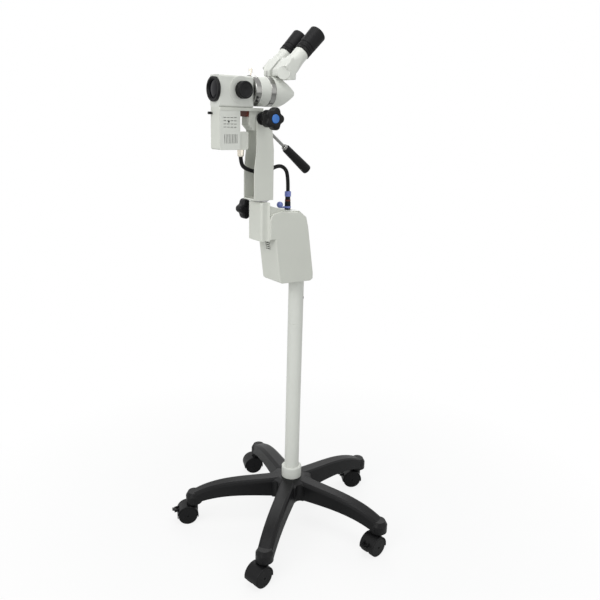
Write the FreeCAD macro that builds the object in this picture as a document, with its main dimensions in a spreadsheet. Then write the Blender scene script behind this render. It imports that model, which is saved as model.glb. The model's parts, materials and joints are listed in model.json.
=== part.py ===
import FreeCAD, Part
import Sketcher
import math
import os
import re
from FreeCAD import Placement, Rotation, Vector

# Colposcope on a five-leg rolling stand. +Z is up and the origin is the column's axis on the floor.
# -Y points at the patient, the way the objective looks, and +X is the side of the round star knob.

sizes = {
    # five-leg base
    "stem_circle": 290,
    "leg_angle": -50,
    "leg_step": 72,
    "hub_radius": 45,
    "hub_top": 145,
    "web_radius": 63,
    "web_notch": 16,
    "web_notch_place": 71.5,
    "hub_bottom": 87,
    "leg_root_depth": 56,
    "leg_root_width": 52,
    "leg_middle": 165,
    "leg_middle_top": -11,
    "leg_middle_depth": 42,
    "leg_middle_width": 50,
    "leg_outer": 262,
    "leg_outer_top": -34,
    "leg_outer_depth": 34,
    "leg_outer_width": 48,
    "leg_tip_top": -48,
    "leg_tip_bottom": 66,
    "leg_tip_radius": 24,
    "leg_draft": 5,
    "leg_wall": 4,
    "rib_thickness": 3,
    # casters
    "wheel_radius": 28,
    "wheel_width": 17.5,
    "wheel_gap": 10,
    "hood_radius": 31,
    "trail": 20,
    "stem_radius": 5.5,
    "stem_length": 24,
    "swivel_gap": 0.4,
    "caster_neck_radius": 11,
    "axle_radius": 3,
    "lever_width": 12,
    "lever_pivot_height": 40,
    "lever_place": 35,
    "trail_front": -80,
    "trail_right": -85,
    "trail_back": -120,
    "trail_far": -112,
    "trail_left": -114,
    # column
    "column_radius": 21,
    "column_wall": 2,
    "column_foot": 99,
    "column_seam": -128,
    "seam_bevel": 0.8,
    "column_head": 36,
    "spigot_length": 80,
    "collar_radius": 29,
    "collar_top": 34,
    "set_screw_height": 73,
    "set_screw_radius": 3.5,
    # housing on the column
    "housing_half": 40,
    "housing_seam": 34,
    "housing_wall": 3,
    "housing_front": -115.5,
    "housing_front_top": 208,
    "housing_step": 122,
    "housing_waist": -98,
    "housing_chin": -83,
    "housing_floor": 753,
    "housing_back_low": 26,
    "housing_back_high": 4,
    "housing_back_step": 146,
    "housing_crown": 188,
    "crown_start": -52,
    "cover_crown": 186,
    "vent_length": 22,
    "vent_height": 2.4,
    "vent_pitch": 5.4,
    "vent_count": 4,
    "vent_lowest": 90,
    # arm socket
    "socket_half": 30,
    "socket_front": -138,
    "socket_bottom": 118,
    "socket_top": 216,
    "socket_tail": -92,
    "socket_tail_half": 24,
    "socket_flare": 36,
    "socket_flare_depth": 6.5,
    "post_place": -118,
    "post_radius": 11,
    "bush_radius": 14,
    "bush_bottom": 124,
    "bush_flange": 17,
    "bush_flange_height": 2,
    "post_bottom": 129,
    "post_flange": 20,
    "socket_knob_height": 191,
    "socket_knob_place": -126.5,
    # tilt arm
    "arm_half": 25,
    "arm_plate": 3,
    "arm_bottom": 221,
    "arm_floor": 4,
    "arm_front_low": -155,
    "arm_front_high": -149,
    "arm_front_step": 76,
    "arm_front_step_top": 124,
    "arm_back": -97,
    "arm_back_high": -104,
    "arm_back_step": 169,
    "web_top": 105,
    "web_hole_height": 70,
    "web_hole_radius": 9,
    "tilt_place": -136,
    "tilt_height": 197.6,
    "ear_radius": 13,
    # tilt block and its clamp
    "block_half": 16.8,
    "block_front": -166.3,
    "block_back": -118,
    "block_bottom": -28.6,
    "block_chamfer": 12.6,
    "pad_depth": 6,
    "pad_height": 13,
    "pad_half": 15,
    "axle_bolt_radius": 5,
    "washer_radius": 14,
    "face_gap": 0.3,
    "running_gap": 0.05,
    # star knobs
    "star_radius": 27,
    "star_thickness": 26,
    "star_valley": 14,
    "star_valley_place": 35,
    "star_lobes": 5,
    "star_neck_radius": 12,
    "star_neck_length": 33,
    "star_base_radius": 15.5,
    "star_base_length": 7,
    "socket_neck_length": 12,
    "socket_neck_radius": 8.5,
    "cap_radius": 10.5,
    "cap_depth": 3,
    # shelf and lamp box
    "head_half": 21.5,
    "head_front": -250.5,
    "shelf_bottom": 16.1,
    "shelf_thickness": 7.5,
    "shelf_back": -127.5,
    "lamp_half": 20,
    "lamp_bottom": -89.9,
    "lamp_back": -194,
    "lamp_tail": -170,
    "lamp_tail_top": 42.2,
    "lamp_tail_half": 19,
    "lamp_wall": 2,
    "panel_margin": 1.5,
    "grille_bottom": 15.2,
    "grille_height": 21,
    "grille_start": -238,
    "grille_pitch": 4.2,
    "grille_slot": 1.7,
    "grille_count": 9,
    "slit_start": -240,
    "slit_length": 7.2,
    "slit_height": 1.3,
    "slit_pitch": 9.4,
    "slit_columns": 4,
    "slit_lowest": 51.7,
    "slit_row_pitch": 7.2,
    "slit_rows": 4,
    "gland_place": -180,
    "gland_radius": 8.5,
    "gland_nut": 6,
    "gland_dome": 11,
    "gland_bore": 5,
    "filter_place": -12,
    "filter_height": -6.7,
    "filter_rod": 1.5,
    "filter_knob_radius": 3.2,
    "filter_knob_length": 8,
    # handle
    "handle_angle": -38.4,
    "rod_radius": 3.8,
    "rod_start": 9,
    "rod_in_grip": 40,
    "handle_collar_start": 108,
    "handle_collar_radius": 8,
    "grip_start": 116,
    "grip_end": 206,
    "grip_radius_near": 9.2,
    "grip_radius_far": 12.3,
    # optics body
    "body_top": 78.6,
    "body_back": -158,
    "body_round": 5,
    "optic_height": 46.8,
    "objective_radius": 28,
    "objective_depth": 7,
    "objective_bore": 23,
    "lens_radius": 22.5,
    "objective_spigot": 19,
    "magnifier_place": -193,
    "magnifier_cover_radius": 31,
    "magnifier_cover_depth": 1.5,
    "magnifier_shaft": 6,
    "magnifier_drum": 16,
    "magnifier_drum_half": 16.5,
    "magnifier_beam": 5,
    "magnifier_beam_offset": 9,
    "magnifier_knob_radius": 20.5,
    "magnifier_knob_start": 23.6,
    "magnifier_knob_depth": 18,
    # rings and drum behind the body
    "ring_radius": 35.5,
    "ring_bore": 28,
    "ring_back": -142,
    "drum_back": -114.3,
    "lock_back": -100,
    "lock_radius": 35.9,
    "thumbscrew_place": -152.5,
    "thumbscrew_shank": 2,
    "thumbscrew_head": 4.3,
    "thumbscrew_head_bottom": 40.5,
    "thumbscrew_head_top": 51.5,
    "pin_radius": 1.2,
    "pin_top": 47.5,
    "pin_place": -106,
    # binocular
    "seam_sum": -47.5,
    "nose_difference": 28.5,
    "spigot_radius": 27.9,
    "spigot_depth": 12,
    "prism_inner": 5.5,
    "prism_outer": 50,
    "prism_front": -94,
    "prism_front_top": 59.5,
    "prism_shoulder": 52,
    "prism_back": -45.5,
    "prism_back_low": 29.5,
    "prism_heel": -65.6,
    "prism_front_chamfer": 22,
    "prism_back_chamfer": 12,
    "boss_radius": 18,
    "boss_depth": 1.2,
    "eye_half": 32.4,
    "eye_difference": 118.9,
    "eye_angle": 45,
    "tube_radius": 18.5,
    "tube_end": 81,
    "sleeve_radius": 15,
    "sleeve_length": 12,
    "diopter_radius": 20.3,
    "diopter_length": 7.5,
    "eyepiece_radius_low": 20.5,
    "eyepiece_radius_high": 22,
    "eyepiece_length": 60,
    "eyecup_depth": 6,
    "eyecup_wall": 3.5,
    # connector on the housing
    "connector_place": -35,
    "connector_foot": 9.5,
    "connector_foot_height": 4,
    "connector_radius": 7.8,
    "connector_top_radius": 6.8,
    "connector_height": 48,
    "lever_ring_radius": 8.6,
    "lever_ring_height": 5,
    "lever_ball_radius": 8.4,
    "lever_reach": 25,
    # lead
    "lead_radius": 4.9,
}

# heights that are counted from another height, so that what stands on it follows it
counted_from = {
    "hub_top": ["collar_top", "leg_middle_top", "leg_outer_top", "leg_tip_top"],
    "housing_floor": ["column_seam", "column_head", "housing_front_top", "housing_step",
                      "housing_back_step", "housing_crown", "cover_crown", "vent_lowest",
                      "socket_bottom", "socket_top", "bush_bottom", "post_bottom",
                      "socket_knob_height", "arm_bottom"],
    "column_seam": ["set_screw_height"],
    "arm_bottom": ["arm_front_step", "arm_front_step_top", "arm_back_step", "web_top",
                   "web_hole_height", "tilt_height"],
    "tilt_height": ["block_bottom", "shelf_bottom"],
    "shelf_bottom": ["lamp_bottom", "body_top", "optic_height", "filter_height"],
    "lamp_bottom": ["lamp_tail_top", "grille_bottom", "slit_lowest"],
    "optic_height": ["thumbscrew_head_bottom", "thumbscrew_head_top", "pin_top", "seam_sum",
                     "nose_difference", "prism_front_top", "prism_back_low", "eye_difference"],
}
below = {name: foot for foot, names in counted_from.items() for name in names}

os.makedirs("parts", exist_ok=True)
doc = FreeCAD.newDocument("colposcope")
sheet = doc.addObject("Spreadsheet::Sheet", "sizes")
for row, (alias, value) in enumerate(sizes.items(), start=1):
    sheet.set("A%d" % row, alias)
    sheet.set("B%d" % row, str(value))
    sheet.setAlias("B%d" % row, alias)
doc.recompute()

nodes = {}


def cell(name):
    """Cell of a size, with the height it is counted from added to it."""
    if name in below:
        return "(%s + sizes.%s)" % (cell(below[name]), name)
    return "sizes." + name if name in sizes else name


def formula(text):
    """Expression with each size's name turned into its cell of the sheet."""
    return re.sub(r"[A-Za-z_]+", lambda match: cell(match.group(0)), str(text))


def height(name):
    return sizes[name] + (height(below[name]) if name in below else 0)


def bind(item, links):
    for path, text in links.items():
        item.setExpression(path, formula(text))


def node(name, item):
    item.Label = name
    nodes[name] = item
    return item


normals = {"XY": 1, "YZ": 1, "XZ": -1}


def new_body(name):
    return node(name, doc.addObject("PartDesign::Body", name))


def new_sketch(owner, plane, level="0"):
    """Empty sketch parallel to one of the owner's origin planes."""
    sketch = owner.newObject("Sketcher::SketchObject", "outline")
    origin_plane = [item for item in owner.Origin.OriginFeatures if item.Role == plane + "_Plane"][0]
    sketch.AttachmentSupport = [(origin_plane, "")]
    sketch.MapMode = "FlatFace"
    sign = "" if normals[plane] > 0 else "-"
    bind(sketch, {"AttachmentOffset.Base.z": "%s(%s)" % (sign, level)})
    return sketch


def add_polygon(sketch, points):
    """Closed outline through points whose two coordinates are expressions."""
    first = len(sketch.Geometry)
    count = len(points)
    spots = [Vector(10 * math.cos(2 * math.pi * i / count), 10 * math.sin(2 * math.pi * i / count), 0)
             for i in range(count)]
    for i in range(count):
        sketch.addGeometry(Part.LineSegment(spots[i], spots[(i + 1) % count]), False)
    for i in range(count):
        sketch.addConstraint(Sketcher.Constraint("Coincident", first + i, 2, first + (i + 1) % count, 1))
    for i, (across, along) in enumerate(points):
        for kind, text in (("DistanceX", across), ("DistanceY", along)):
            index = sketch.addConstraint(Sketcher.Constraint(kind, -1, 1, first + i, 1, 1.0 + i))
            sketch.setExpression("Constraints[%d]" % index, formula(text))


def add_circle(sketch, across, along, radius):
    index = sketch.addGeometry(Part.Circle(Vector(5, 5, 0), Vector(0, 0, 1), 3), False)
    for kind, text in (("DistanceX", across), ("DistanceY", along)):
        place = sketch.addConstraint(Sketcher.Constraint(kind, -1, 1, index, 3, 1.0))
        sketch.setExpression("Constraints[%d]" % place, formula(text))
    place = sketch.addConstraint(Sketcher.Constraint("Radius", index, 3.0))
    sketch.setExpression("Constraints[%d]" % place, formula(radius))


def pad(body, sketch, length, midplane=False, backwards=False):
    feature = body.newObject("PartDesign::Pad", "pad")
    feature.Profile = sketch
    feature.Midplane = midplane
    feature.Reversed = backwards
    bind(feature, {"Length": length})
    return feature


def pocket(body, sketch, length, midplane=False, backwards=False):
    feature = body.newObject("PartDesign::Pocket", "pocket")
    feature.Profile = sketch
    feature.Midplane = midplane
    feature.Reversed = backwards
    bind(feature, {"Length": length})
    return feature


def revolve(body, sketch, axis):
    feature = body.newObject("PartDesign::Revolution", "turned")
    feature.Profile = sketch
    feature.ReferenceAxis = (sketch, axis)
    feature.Angle = 360
    return feature


def polar(body, features, count, step=None):
    pattern = body.newObject("PartDesign::PolarPattern", "around")
    pattern.Originals = features
    pattern.Axis = ([item for item in body.Origin.OriginFeatures if item.Role == "Z_Axis"][0], [""])
    pattern.Angle = 360
    bind(pattern, {"Occurrences": count})
    body.Tip = pattern
    return pattern


def linear(body, features, axis, length, count):
    pattern = body.newObject("PartDesign::LinearPattern", "row")
    pattern.Originals = features
    pattern.Direction = ([item for item in body.Origin.OriginFeatures if item.Role == axis + "_Axis"][0], [""])
    bind(pattern, {"Length": length, "Occurrences": count})
    body.Tip = pattern
    return pattern


def straight_edges(shape, direction, keep=None):
    """Names of the straight edges that run along a direction."""
    names = []
    for i, edge in enumerate(shape.Edges, start=1):
        if edge.Curve.TypeId != "Part::GeomLine":
            continue
        along = edge.Vertexes[-1].Point - edge.Vertexes[0].Point
        if along.Length < 0.01 or abs(along.normalize().dot(direction)) < 0.999:
            continue
        if keep is None or keep(edge.CenterOfMass):
            names.append("Edge%d" % i)
    return names


def round_edges(body, direction, radius, keep=None):
    doc.recompute()
    base = body.Tip
    names = straight_edges(base.Shape, direction, keep)
    feature = body.newObject("PartDesign::Fillet", "rounded")
    feature.Base = (base, names)
    bind(feature, {"Radius": radius})
    doc.recompute()
    return feature


def cylinder(radius, height, base=("0", "0", "0"), rotation=Rotation()):
    """Plain cylinder that starts at base and runs along the turned Z axis."""
    item = doc.addObject("Part::Cylinder", "rod")
    item.Placement = Placement(Vector(), rotation)
    bind(item, {"Radius": radius, "Height": height, "Placement.Base.x": base[0],
                "Placement.Base.y": base[1], "Placement.Base.z": base[2]})
    return item


def box(corner, extent):
    item = doc.addObject("Part::Box", "block")
    bind(item, {"Placement.Base.x": corner[0], "Placement.Base.y": corner[1], "Placement.Base.z": corner[2],
                "Length": extent[0], "Width": extent[1], "Height": extent[2]})
    return item


def fuse(items):
    item = doc.addObject("Part::MultiFuse", "joined")
    item.Shapes = items
    return item


def cut(base, tools):
    item = doc.addObject("Part::Cut", "trimmed")
    item.Base = base
    item.Tool = tools[0] if len(tools) == 1 else fuse(tools)
    return item


def group(items):
    item = doc.addObject("Part::Compound", "set")
    item.Links = items
    return item


def turned_part(name, profile, plane="XZ"):
    """Body made by turning a profile of (radius, height) pairs round its own Z axis."""
    body = new_body(name)
    sketch = new_sketch(body, plane)
    add_polygon(sketch, profile)
    revolve(body, sketch, "V_Axis")
    return body


def place(item, x="0", y="0", z="0", angle=None, axis=Vector(0, 0, 1)):
    """Position from expressions, with an optional turn round one axis."""
    item.Placement = Placement(Vector(), Rotation(axis, 10 if angle is not None else 0))
    links = {"Placement.Base.x": x, "Placement.Base.y": y, "Placement.Base.z": z}
    if angle is not None:
        links["Placement.Rotation.Angle"] = angle
    bind(item, links)


def slab(body, plane, level, points, length, backwards=False, midplane=False):
    """Outline on a plane at a level, raised into the body."""
    sketch = new_sketch(body, plane, level)
    add_polygon(sketch, points)
    return pad(body, sketch, length, midplane, backwards)


def notch(body, plane, level, points, length, backwards=False, midplane=False):
    """Outline on a plane at a level, cut out of the body."""
    sketch = new_sketch(body, plane, level)
    add_polygon(sketch, points)
    return pocket(body, sketch, length, midplane, backwards)


def disc(body, plane, level, centre, radius, length, backwards=False, midplane=False):
    sketch = new_sketch(body, plane, level)
    add_circle(sketch, centre[0], centre[1], radius)
    return pad(body, sketch, length, midplane, backwards)


def bore(body, plane, level, centre, radius, length, backwards=False, midplane=False):
    sketch = new_sketch(body, plane, level)
    add_circle(sketch, centre[0], centre[1], radius)
    return pocket(body, sketch, length, midplane, backwards)


def oblong(left, right, low, high):
    return [(left, low), (right, low), (right, high), (left, high)]


def rims(body, radius, kind, amount, keep=None):
    """Chamfer or fillet on the circular edges of one radius."""
    doc.recompute()
    base = body.Tip
    names = []
    for i, edge in enumerate(base.Shape.Edges, start=1):
        if edge.Curve.TypeId == "Part::GeomCircle" and abs(edge.Curve.Radius - radius) < 0.01:
            if keep is None or keep(edge.Curve.Center):
                names.append("Edge%d" % i)
    feature = body.newObject("PartDesign::" + kind, "rim")
    feature.Base = (base, names)
    bind(feature, {"Radius" if kind == "Fillet" else "Size": amount})
    doc.recompute()
    return feature


x_axis = Vector(1, 0, 0)
y_axis = Vector(0, 1, 0)
z_axis = Vector(0, 0, 1)

# five-leg base: one leg is lofted along X and repeated round the column
base = new_body("star_base")
place(base, angle="leg_angle")
hub = new_sketch(base, "XZ")
add_polygon(hub, [("8", "hub_bottom"), ("27", "hub_bottom"), ("27", "hub_top - 8"),
                  ("hub_radius - leg_wall", "hub_top - 8"), ("hub_radius - leg_wall", "hub_bottom"),
                  ("web_radius", "hub_bottom"), ("web_radius", "hub_top - 9"),
                  ("web_radius - 8", "hub_top - 4"), ("hub_radius - 5", "hub_top"),
                  ("column_radius + running_gap", "hub_top"), ("column_radius + running_gap", "column_foot"),
                  ("8", "column_foot")])
revolve(base, hub, "V_Axis")
between = bore(base, "XY", "hub_bottom - 5", ("web_notch_place*cos(leg_step/2*1deg)",
                                              "web_notch_place*sin(leg_step/2*1deg)"),
               "web_notch", "hub_top - hub_bottom + 20", backwards=True)
polar(base, [between], "5")


def leg_section(place_x, top, depth, width, shrink="0", lift="0", open_below="0"):
    """Trapezoid across the leg with its two upper corners cut off twice."""
    sketch = new_sketch(base, "YZ", place_x)
    half = "(%s)/2 - %s" % (width, shrink)
    crest = "%s - %s" % (top, lift)
    foot = "%s - (%s) - %s" % (top, depth, open_below)
    right = [("%s" % half, foot), ("%s - leg_draft*0.7" % half, "%s - 9" % crest),
             ("%s - leg_draft*0.7 - 2.6" % half, "%s - 2.8" % crest), ("%s - leg_draft*0.7 - 8.5" % half, crest)]
    left = [("-(%s)" % across, along) for across, along in reversed(right)]
    add_polygon(sketch, right + left)
    return sketch


def leg_loft(kind, sections):
    feature = base.newObject("PartDesign::" + kind, "leg")
    feature.Profile = sections[0]
    feature.Sections = sections[1:]
    return feature


solid = leg_loft("AdditiveLoft", [
    leg_section("hub_radius - 5", "hub_top", "leg_root_depth", "leg_root_width"),
    leg_section("leg_middle", "leg_middle_top", "leg_middle_depth", "leg_middle_width"),
    leg_section("leg_outer", "leg_outer_top", "leg_outer_depth", "leg_outer_width"),
    leg_section("stem_circle", "leg_tip_top", "leg_tip_top - leg_tip_bottom", "leg_tip_radius*2 - 1")])
hollow = leg_loft("SubtractiveLoft", [
    leg_section("hub_radius + leg_wall", "hub_top - 1", "leg_root_depth", "leg_root_width", "leg_wall", "leg_wall", "8"),
    leg_section("leg_middle", "leg_middle_top", "leg_middle_depth", "leg_middle_width", "leg_wall", "leg_wall", "8"),
    leg_section("leg_outer", "leg_outer_top", "leg_outer_depth", "leg_outer_width", "leg_wall", "leg_wall", "8")])
near_rib = slab(base, "YZ", "leg_middle - 55", oblong("-leg_middle_width/2 + 3", "leg_middle_width/2 - 3",
                                                      "leg_middle_top - leg_middle_depth + 6", "leg_middle_top - 3"),
                "rib_thickness")
far_rib = slab(base, "YZ", "leg_middle + 35", oblong("-leg_outer_width/2 + 3", "leg_outer_width/2 - 3",
                                                     "leg_outer_top - leg_outer_depth + 12", "leg_outer_top + 4"),
               "rib_thickness")
tip = disc(base, "XY", "leg_tip_bottom - 3", ("stem_circle", "0"), "leg_tip_radius", "leg_tip_top - leg_tip_bottom - 9")
crown = disc(base, "XY", "leg_tip_top - 12", ("stem_circle", "0"), "leg_tip_radius", "12")
crown.TaperAngle = -28
seat = bore(base, "XY", "leg_tip_bottom - 4", ("stem_circle", "0"), "stem_radius + running_gap", "stem_length + 2",
            backwards=True)
polar(base, [solid, hollow, near_rib, far_rib, tip, crown, seat], "5", "leg_step")

# casters: twin wheels under a hood, with a brake lever on three of them
casters = [("front", "leg_angle", "trail_front"), ("right", "leg_angle + leg_step", "trail_right"),
           ("back", "leg_angle + leg_step*2", "trail_back"), ("far", "leg_angle + leg_step*3", "trail_far"),
           ("left", "leg_angle + leg_step*4", "trail_left")]


def stand(item, angle, trail):
    place(item, "stem_circle*cos((%s)*1deg)" % angle, "stem_circle*sin((%s)*1deg)" % angle, "0", trail)


for name, angle, trail in casters:
    fork = new_body("caster_fork_" + name)
    stand(fork, angle, trail)
    axle = ("trail", "wheel_radius")
    disc(fork, "XZ", "0", axle, "hood_radius", "wheel_gap + wheel_width*2 + 1.5", midplane=True)
    rims(fork, sizes["hood_radius"], "Fillet", "2")
    disc(fork, "XY", "wheel_radius + 8", ("0", "0"), "caster_neck_radius",
         "leg_tip_bottom - 3 - swivel_gap - wheel_radius - 8")
    for side, backwards in (("wheel_gap/2 - 0.5", True), ("-(wheel_gap/2 - 0.5)", False)):
        bore(fork, "XZ", side, axle, "hood_radius - 2.2", "wheel_width + 10", backwards=not backwards)
    notch(fork, "XZ", "0", oblong("-30", "trail + 40", "-10", "wheel_radius - 6"), "80", midplane=True)
    disc(fork, "XZ", "0", axle, "axle_radius", "wheel_gap + wheel_width*2 - 3", midplane=True)
    disc(fork, "XY", "leg_tip_bottom - 8", ("0", "0"), "stem_radius", "stem_length + 4")
    if name in ("right", "back", "left"):
        for side in ("-lever_width/2 - 0.3 - 2.7", "lever_width/2 + 0.3"):
            sketch = new_sketch(fork, "XZ", side)
            add_polygon(sketch, [("trail + lever_place - 7", "lever_pivot_height - 2"),
                                 ("trail + lever_place + 4", "lever_pivot_height - 4"),
                                 ("trail + lever_place + 4", "lever_pivot_height + 4"),
                                 ("trail + lever_place - 14", "lever_pivot_height + 8")])
            pad(fork, sketch, "2.7", backwards=True)
        disc(fork, "XZ", "0", ("trail + lever_place", "lever_pivot_height"), "2", "lever_width + 5", midplane=True)
        lever = new_body("caster_brake_" + name)
        stand(lever, angle, trail)
        disc(lever, "XZ", "0", ("trail + lever_place", "lever_pivot_height"), "3.7", "lever_width", midplane=True)
        slab(lever, "XZ", "0", [("trail + lever_place", "lever_pivot_height - 1"),
                                ("trail + lever_place + 10", "lever_pivot_height + 1"),
                                ("trail + lever_place + 10", "lever_pivot_height + 4"),
                                ("trail + lever_place", "lever_pivot_height + 3.7")],
             "lever_width", midplane=True)
        bore(lever, "XZ", "0", ("trail + lever_place", "lever_pivot_height"), "2 + running_gap", "lever_width + 4", midplane=True)
    wheels = []
    for side, backwards in (("wheel_gap/2", True), ("-wheel_gap/2", False)):
        wheel = doc.addObject("PartDesign::Body", "wheel")
        stand(wheel, angle, trail)
        disc(wheel, "XZ", side, axle, "wheel_radius", "wheel_width", backwards=backwards)
        rims(wheel, sizes["wheel_radius"], "Fillet", "2.5")
        outer = "(wheel_gap/2 + wheel_width)" if backwards else "-(wheel_gap/2 + wheel_width)"
        bore(wheel, "XZ", outer, axle, "wheel_radius - 5", "2.5", backwards=not backwards)
        disc(wheel, "XZ", outer, axle, "7.5", "2.5", backwards=not backwards)
        bore(wheel, "XZ", "0", axle, "axle_radius + running_gap", "100", midplane=True)
        wheels.append(wheel)
    node("caster_wheels_" + name, group(wheels))

# column
turned_part("column_collar", [("column_radius + running_gap", "hub_top"), ("collar_radius", "hub_top"),
                              ("collar_radius", "collar_top - 3"), ("collar_radius - 3", "collar_top"),
                              ("column_radius + running_gap", "collar_top")])
turned_part("lower_column", [("column_radius - column_wall", "column_foot"), ("column_radius", "column_foot"),
                             ("column_radius", "column_seam - seam_bevel"),
                             ("column_radius - seam_bevel", "column_seam"),
                             ("column_radius - column_wall", "column_seam")])
column = turned_part("upper_column", [
    ("column_radius - 5", "column_seam - spigot_length"),
    ("column_radius - column_wall - running_gap", "column_seam - spigot_length"),
    ("column_radius - column_wall - running_gap", "column_seam"), ("column_radius - seam_bevel", "column_seam"),
    ("column_radius", "column_seam + seam_bevel"),
    ("column_radius", "column_head"), ("column_radius - 5", "column_head")])
screw_seat = new_sketch(column, "XZ")
add_circle(screw_seat, "0", "set_screw_height", "set_screw_radius + running_gap")
pocket(column, screw_seat, "40")
place(column, angle="-45")
screw = new_body("column_set_screw")
place(screw, angle="-45")
disc(screw, "XZ", "column_radius - 4.5", ("0", "set_screw_height"), "set_screw_radius", "5", backwards=True)
bore(screw, "XZ", "column_radius + 1", ("0", "set_screw_height"), "1.6", "3", backwards=True)

# housing on top of the column, with its separate side cover
shell_side = [("housing_front", "housing_step"), ("housing_front", "housing_front_top"),
              ("crown_start", "housing_crown + 1.8"), ("-22", "housing_crown + 1.8"),
              ("housing_back_high - 4", "housing_crown - 15"), ("housing_back_high + 1.4", "housing_back_step"),
              ("housing_back_low", "housing_floor + 19"), ("housing_back_low", "housing_floor + 4"),
              ("housing_back_low - 8", "housing_floor - 1.5"), ("-76", "housing_floor + 2"),
              ("housing_chin", "housing_floor + 7"), ("housing_waist", "housing_step - 8"),
              ("housing_waist", "housing_step")]
shell_inside = [("housing_front + housing_wall", "housing_step + housing_wall"),
                ("housing_front + housing_wall", "housing_front_top - housing_wall*1.3"),
                ("crown_start", "housing_crown + 1.8 - housing_wall"), ("-23", "housing_crown + 1.8 - housing_wall"),
                ("housing_back_high - 6.5", "housing_crown - 16 - housing_wall/2"),
                ("housing_back_high + 1.4 - housing_wall", "housing_back_step - 1"),
                ("housing_back_low - housing_wall", "housing_floor + 18"),
                ("housing_back_low - housing_wall", "housing_floor + 6"),
                ("housing_back_low - 9", "housing_floor + 1.5"), ("-74.5", "housing_floor + 2 + housing_wall"),
                ("housing_chin + housing_wall", "housing_floor + 8"),
                ("housing_waist + housing_wall", "housing_step - 8"),
                ("housing_waist + housing_wall", "housing_step + housing_wall")]
shell = new_body("housing_shell")
slab(shell, "YZ", "-housing_half", shell_side, "housing_half + housing_seam")
round_edges(shell, x_axis, "4", lambda c: c.y < -110)
round_edges(shell, x_axis, "6", lambda c: c.y > -60 and c.z > height("housing_floor") + 100)
round_edges(shell, x_axis, "3.5", lambda c: c.z < height("housing_floor") + 30)
doc.recompute()
left_rim = [i for i, e in enumerate(shell.Tip.Shape.Edges, start=1)
            if abs(e.BoundBox.XMax + sizes["housing_half"]) < 0.01 and e.BoundBox.XLength < 0.01]
soft = shell.newObject("PartDesign::Fillet", "rounded")
soft.Base = (soft.BaseFeature, ["Edge%d" % i for i in left_rim])
bind(soft, {"Radius": "2"})
doc.recompute()
notch(shell, "YZ", "-housing_half + housing_wall", shell_inside, "housing_half*2", backwards=True)
disc(shell, "XY", "housing_floor", ("0", "0"), "column_radius + 5", "column_head - housing_floor")
bore(shell, "XY", "housing_floor - 20", ("0", "0"), "column_radius + running_gap", "100", backwards=True)
notch(shell, "XZ", "housing_front - 5", oblong("-socket_tail_half - face_gap", "socket_tail_half + face_gap",
                                               "housing_step + 5.5", "housing_front_top - 12.5"), "15")
bore(shell, "XY", "housing_step - 5", ("0", "post_place"), "bush_radius + 0.5", "120", backwards=True)
slot = notch(shell, "XZ", "housing_waist - 15", oblong("-vent_length/2", "vent_length/2", "vent_lowest",
                                                       "vent_lowest + vent_height"), "35")
linear(shell, [slot], "Z", "vent_pitch*(vent_count - 1)", "vent_count")
bore(shell, "XY", "housing_crown - 20", ("0", "connector_place"), "7", "40", backwards=True)

cover_side = [("housing_front", "housing_step"), ("housing_front", "housing_front_top - 36"),
              ("housing_front + 3", "housing_front_top - 27"), ("housing_front + 11", "housing_front_top - 20"),
              ("housing_front + 36", "housing_front_top - 15.5"), ("crown_start", "cover_crown + 2"),
              ("-22", "cover_crown"), ("housing_back_high - 6", "housing_crown - 15"),
              ("housing_back_high + 1.4", "housing_back_step")] + shell_side[6:]
cover = new_body("housing_cover")
slab(cover, "YZ", "housing_seam", cover_side, "housing_half - housing_seam")
round_edges(cover, x_axis, "5", lambda c: c.y < -70 and c.z > height("housing_step") + 5)
round_edges(cover, x_axis, "6", lambda c: c.y > -60 and c.z > height("housing_floor") + 100)
round_edges(cover, x_axis, "3.5", lambda c: c.z < height("housing_floor") + 30)
outer_rim = [i for i, e in enumerate(cover.Tip.Shape.Edges, start=1)
             if abs(e.BoundBox.XMin - sizes["housing_half"]) < 0.01 and e.BoundBox.XLength < 0.01]
soft = cover.newObject("PartDesign::Fillet", "rounded")
soft.Base = (soft.BaseFeature, ["Edge%d" % i for i in outer_rim])
bind(soft, {"Radius": "2"})
doc.recompute()
supply = box(("-housing_half + housing_wall", "-80", "housing_floor + 24"), ("52", "50", "80"))
node("power_supply", supply)

# socket that carries the arm
socket = new_body("arm_socket")
slab(socket, "XY", "socket_bottom", [
    ("-socket_half + 4", "socket_front"), ("socket_half - 4", "socket_front"), ("socket_half", "socket_front + 4"),
    ("socket_half", "housing_front - socket_flare_depth"), ("socket_half + 1.5", "housing_front - 3"),
    ("socket_flare", "housing_front"), ("-socket_flare", "housing_front"),
    ("-socket_half - 1.5", "housing_front - 3"), ("-socket_half", "housing_front - socket_flare_depth"),
    ("-socket_half", "socket_front + 4")], "socket_top - socket_bottom")
slab(socket, "XY", "housing_step + 6", oblong("-socket_tail_half", "socket_tail_half", "housing_front - 4",
                                              "socket_tail"), "housing_front_top - housing_step - 19")
bore(socket, "XY", "socket_bottom - 5", ("0", "post_place"), "bush_radius + running_gap", "200", backwards=True)
notch(socket, "XY", "socket_bottom - 5", oblong("-60", "60", "housing_front", "housing_front + 60"),
      "housing_step + 6 - socket_bottom + 5", backwards=True)
bore(socket, "YZ", "0", ("socket_knob_place", "socket_knob_height"), "4 + running_gap", "60")
round_edges(socket, z_axis, "3", lambda c: c.y < sizes["socket_front"] + 5)

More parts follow.
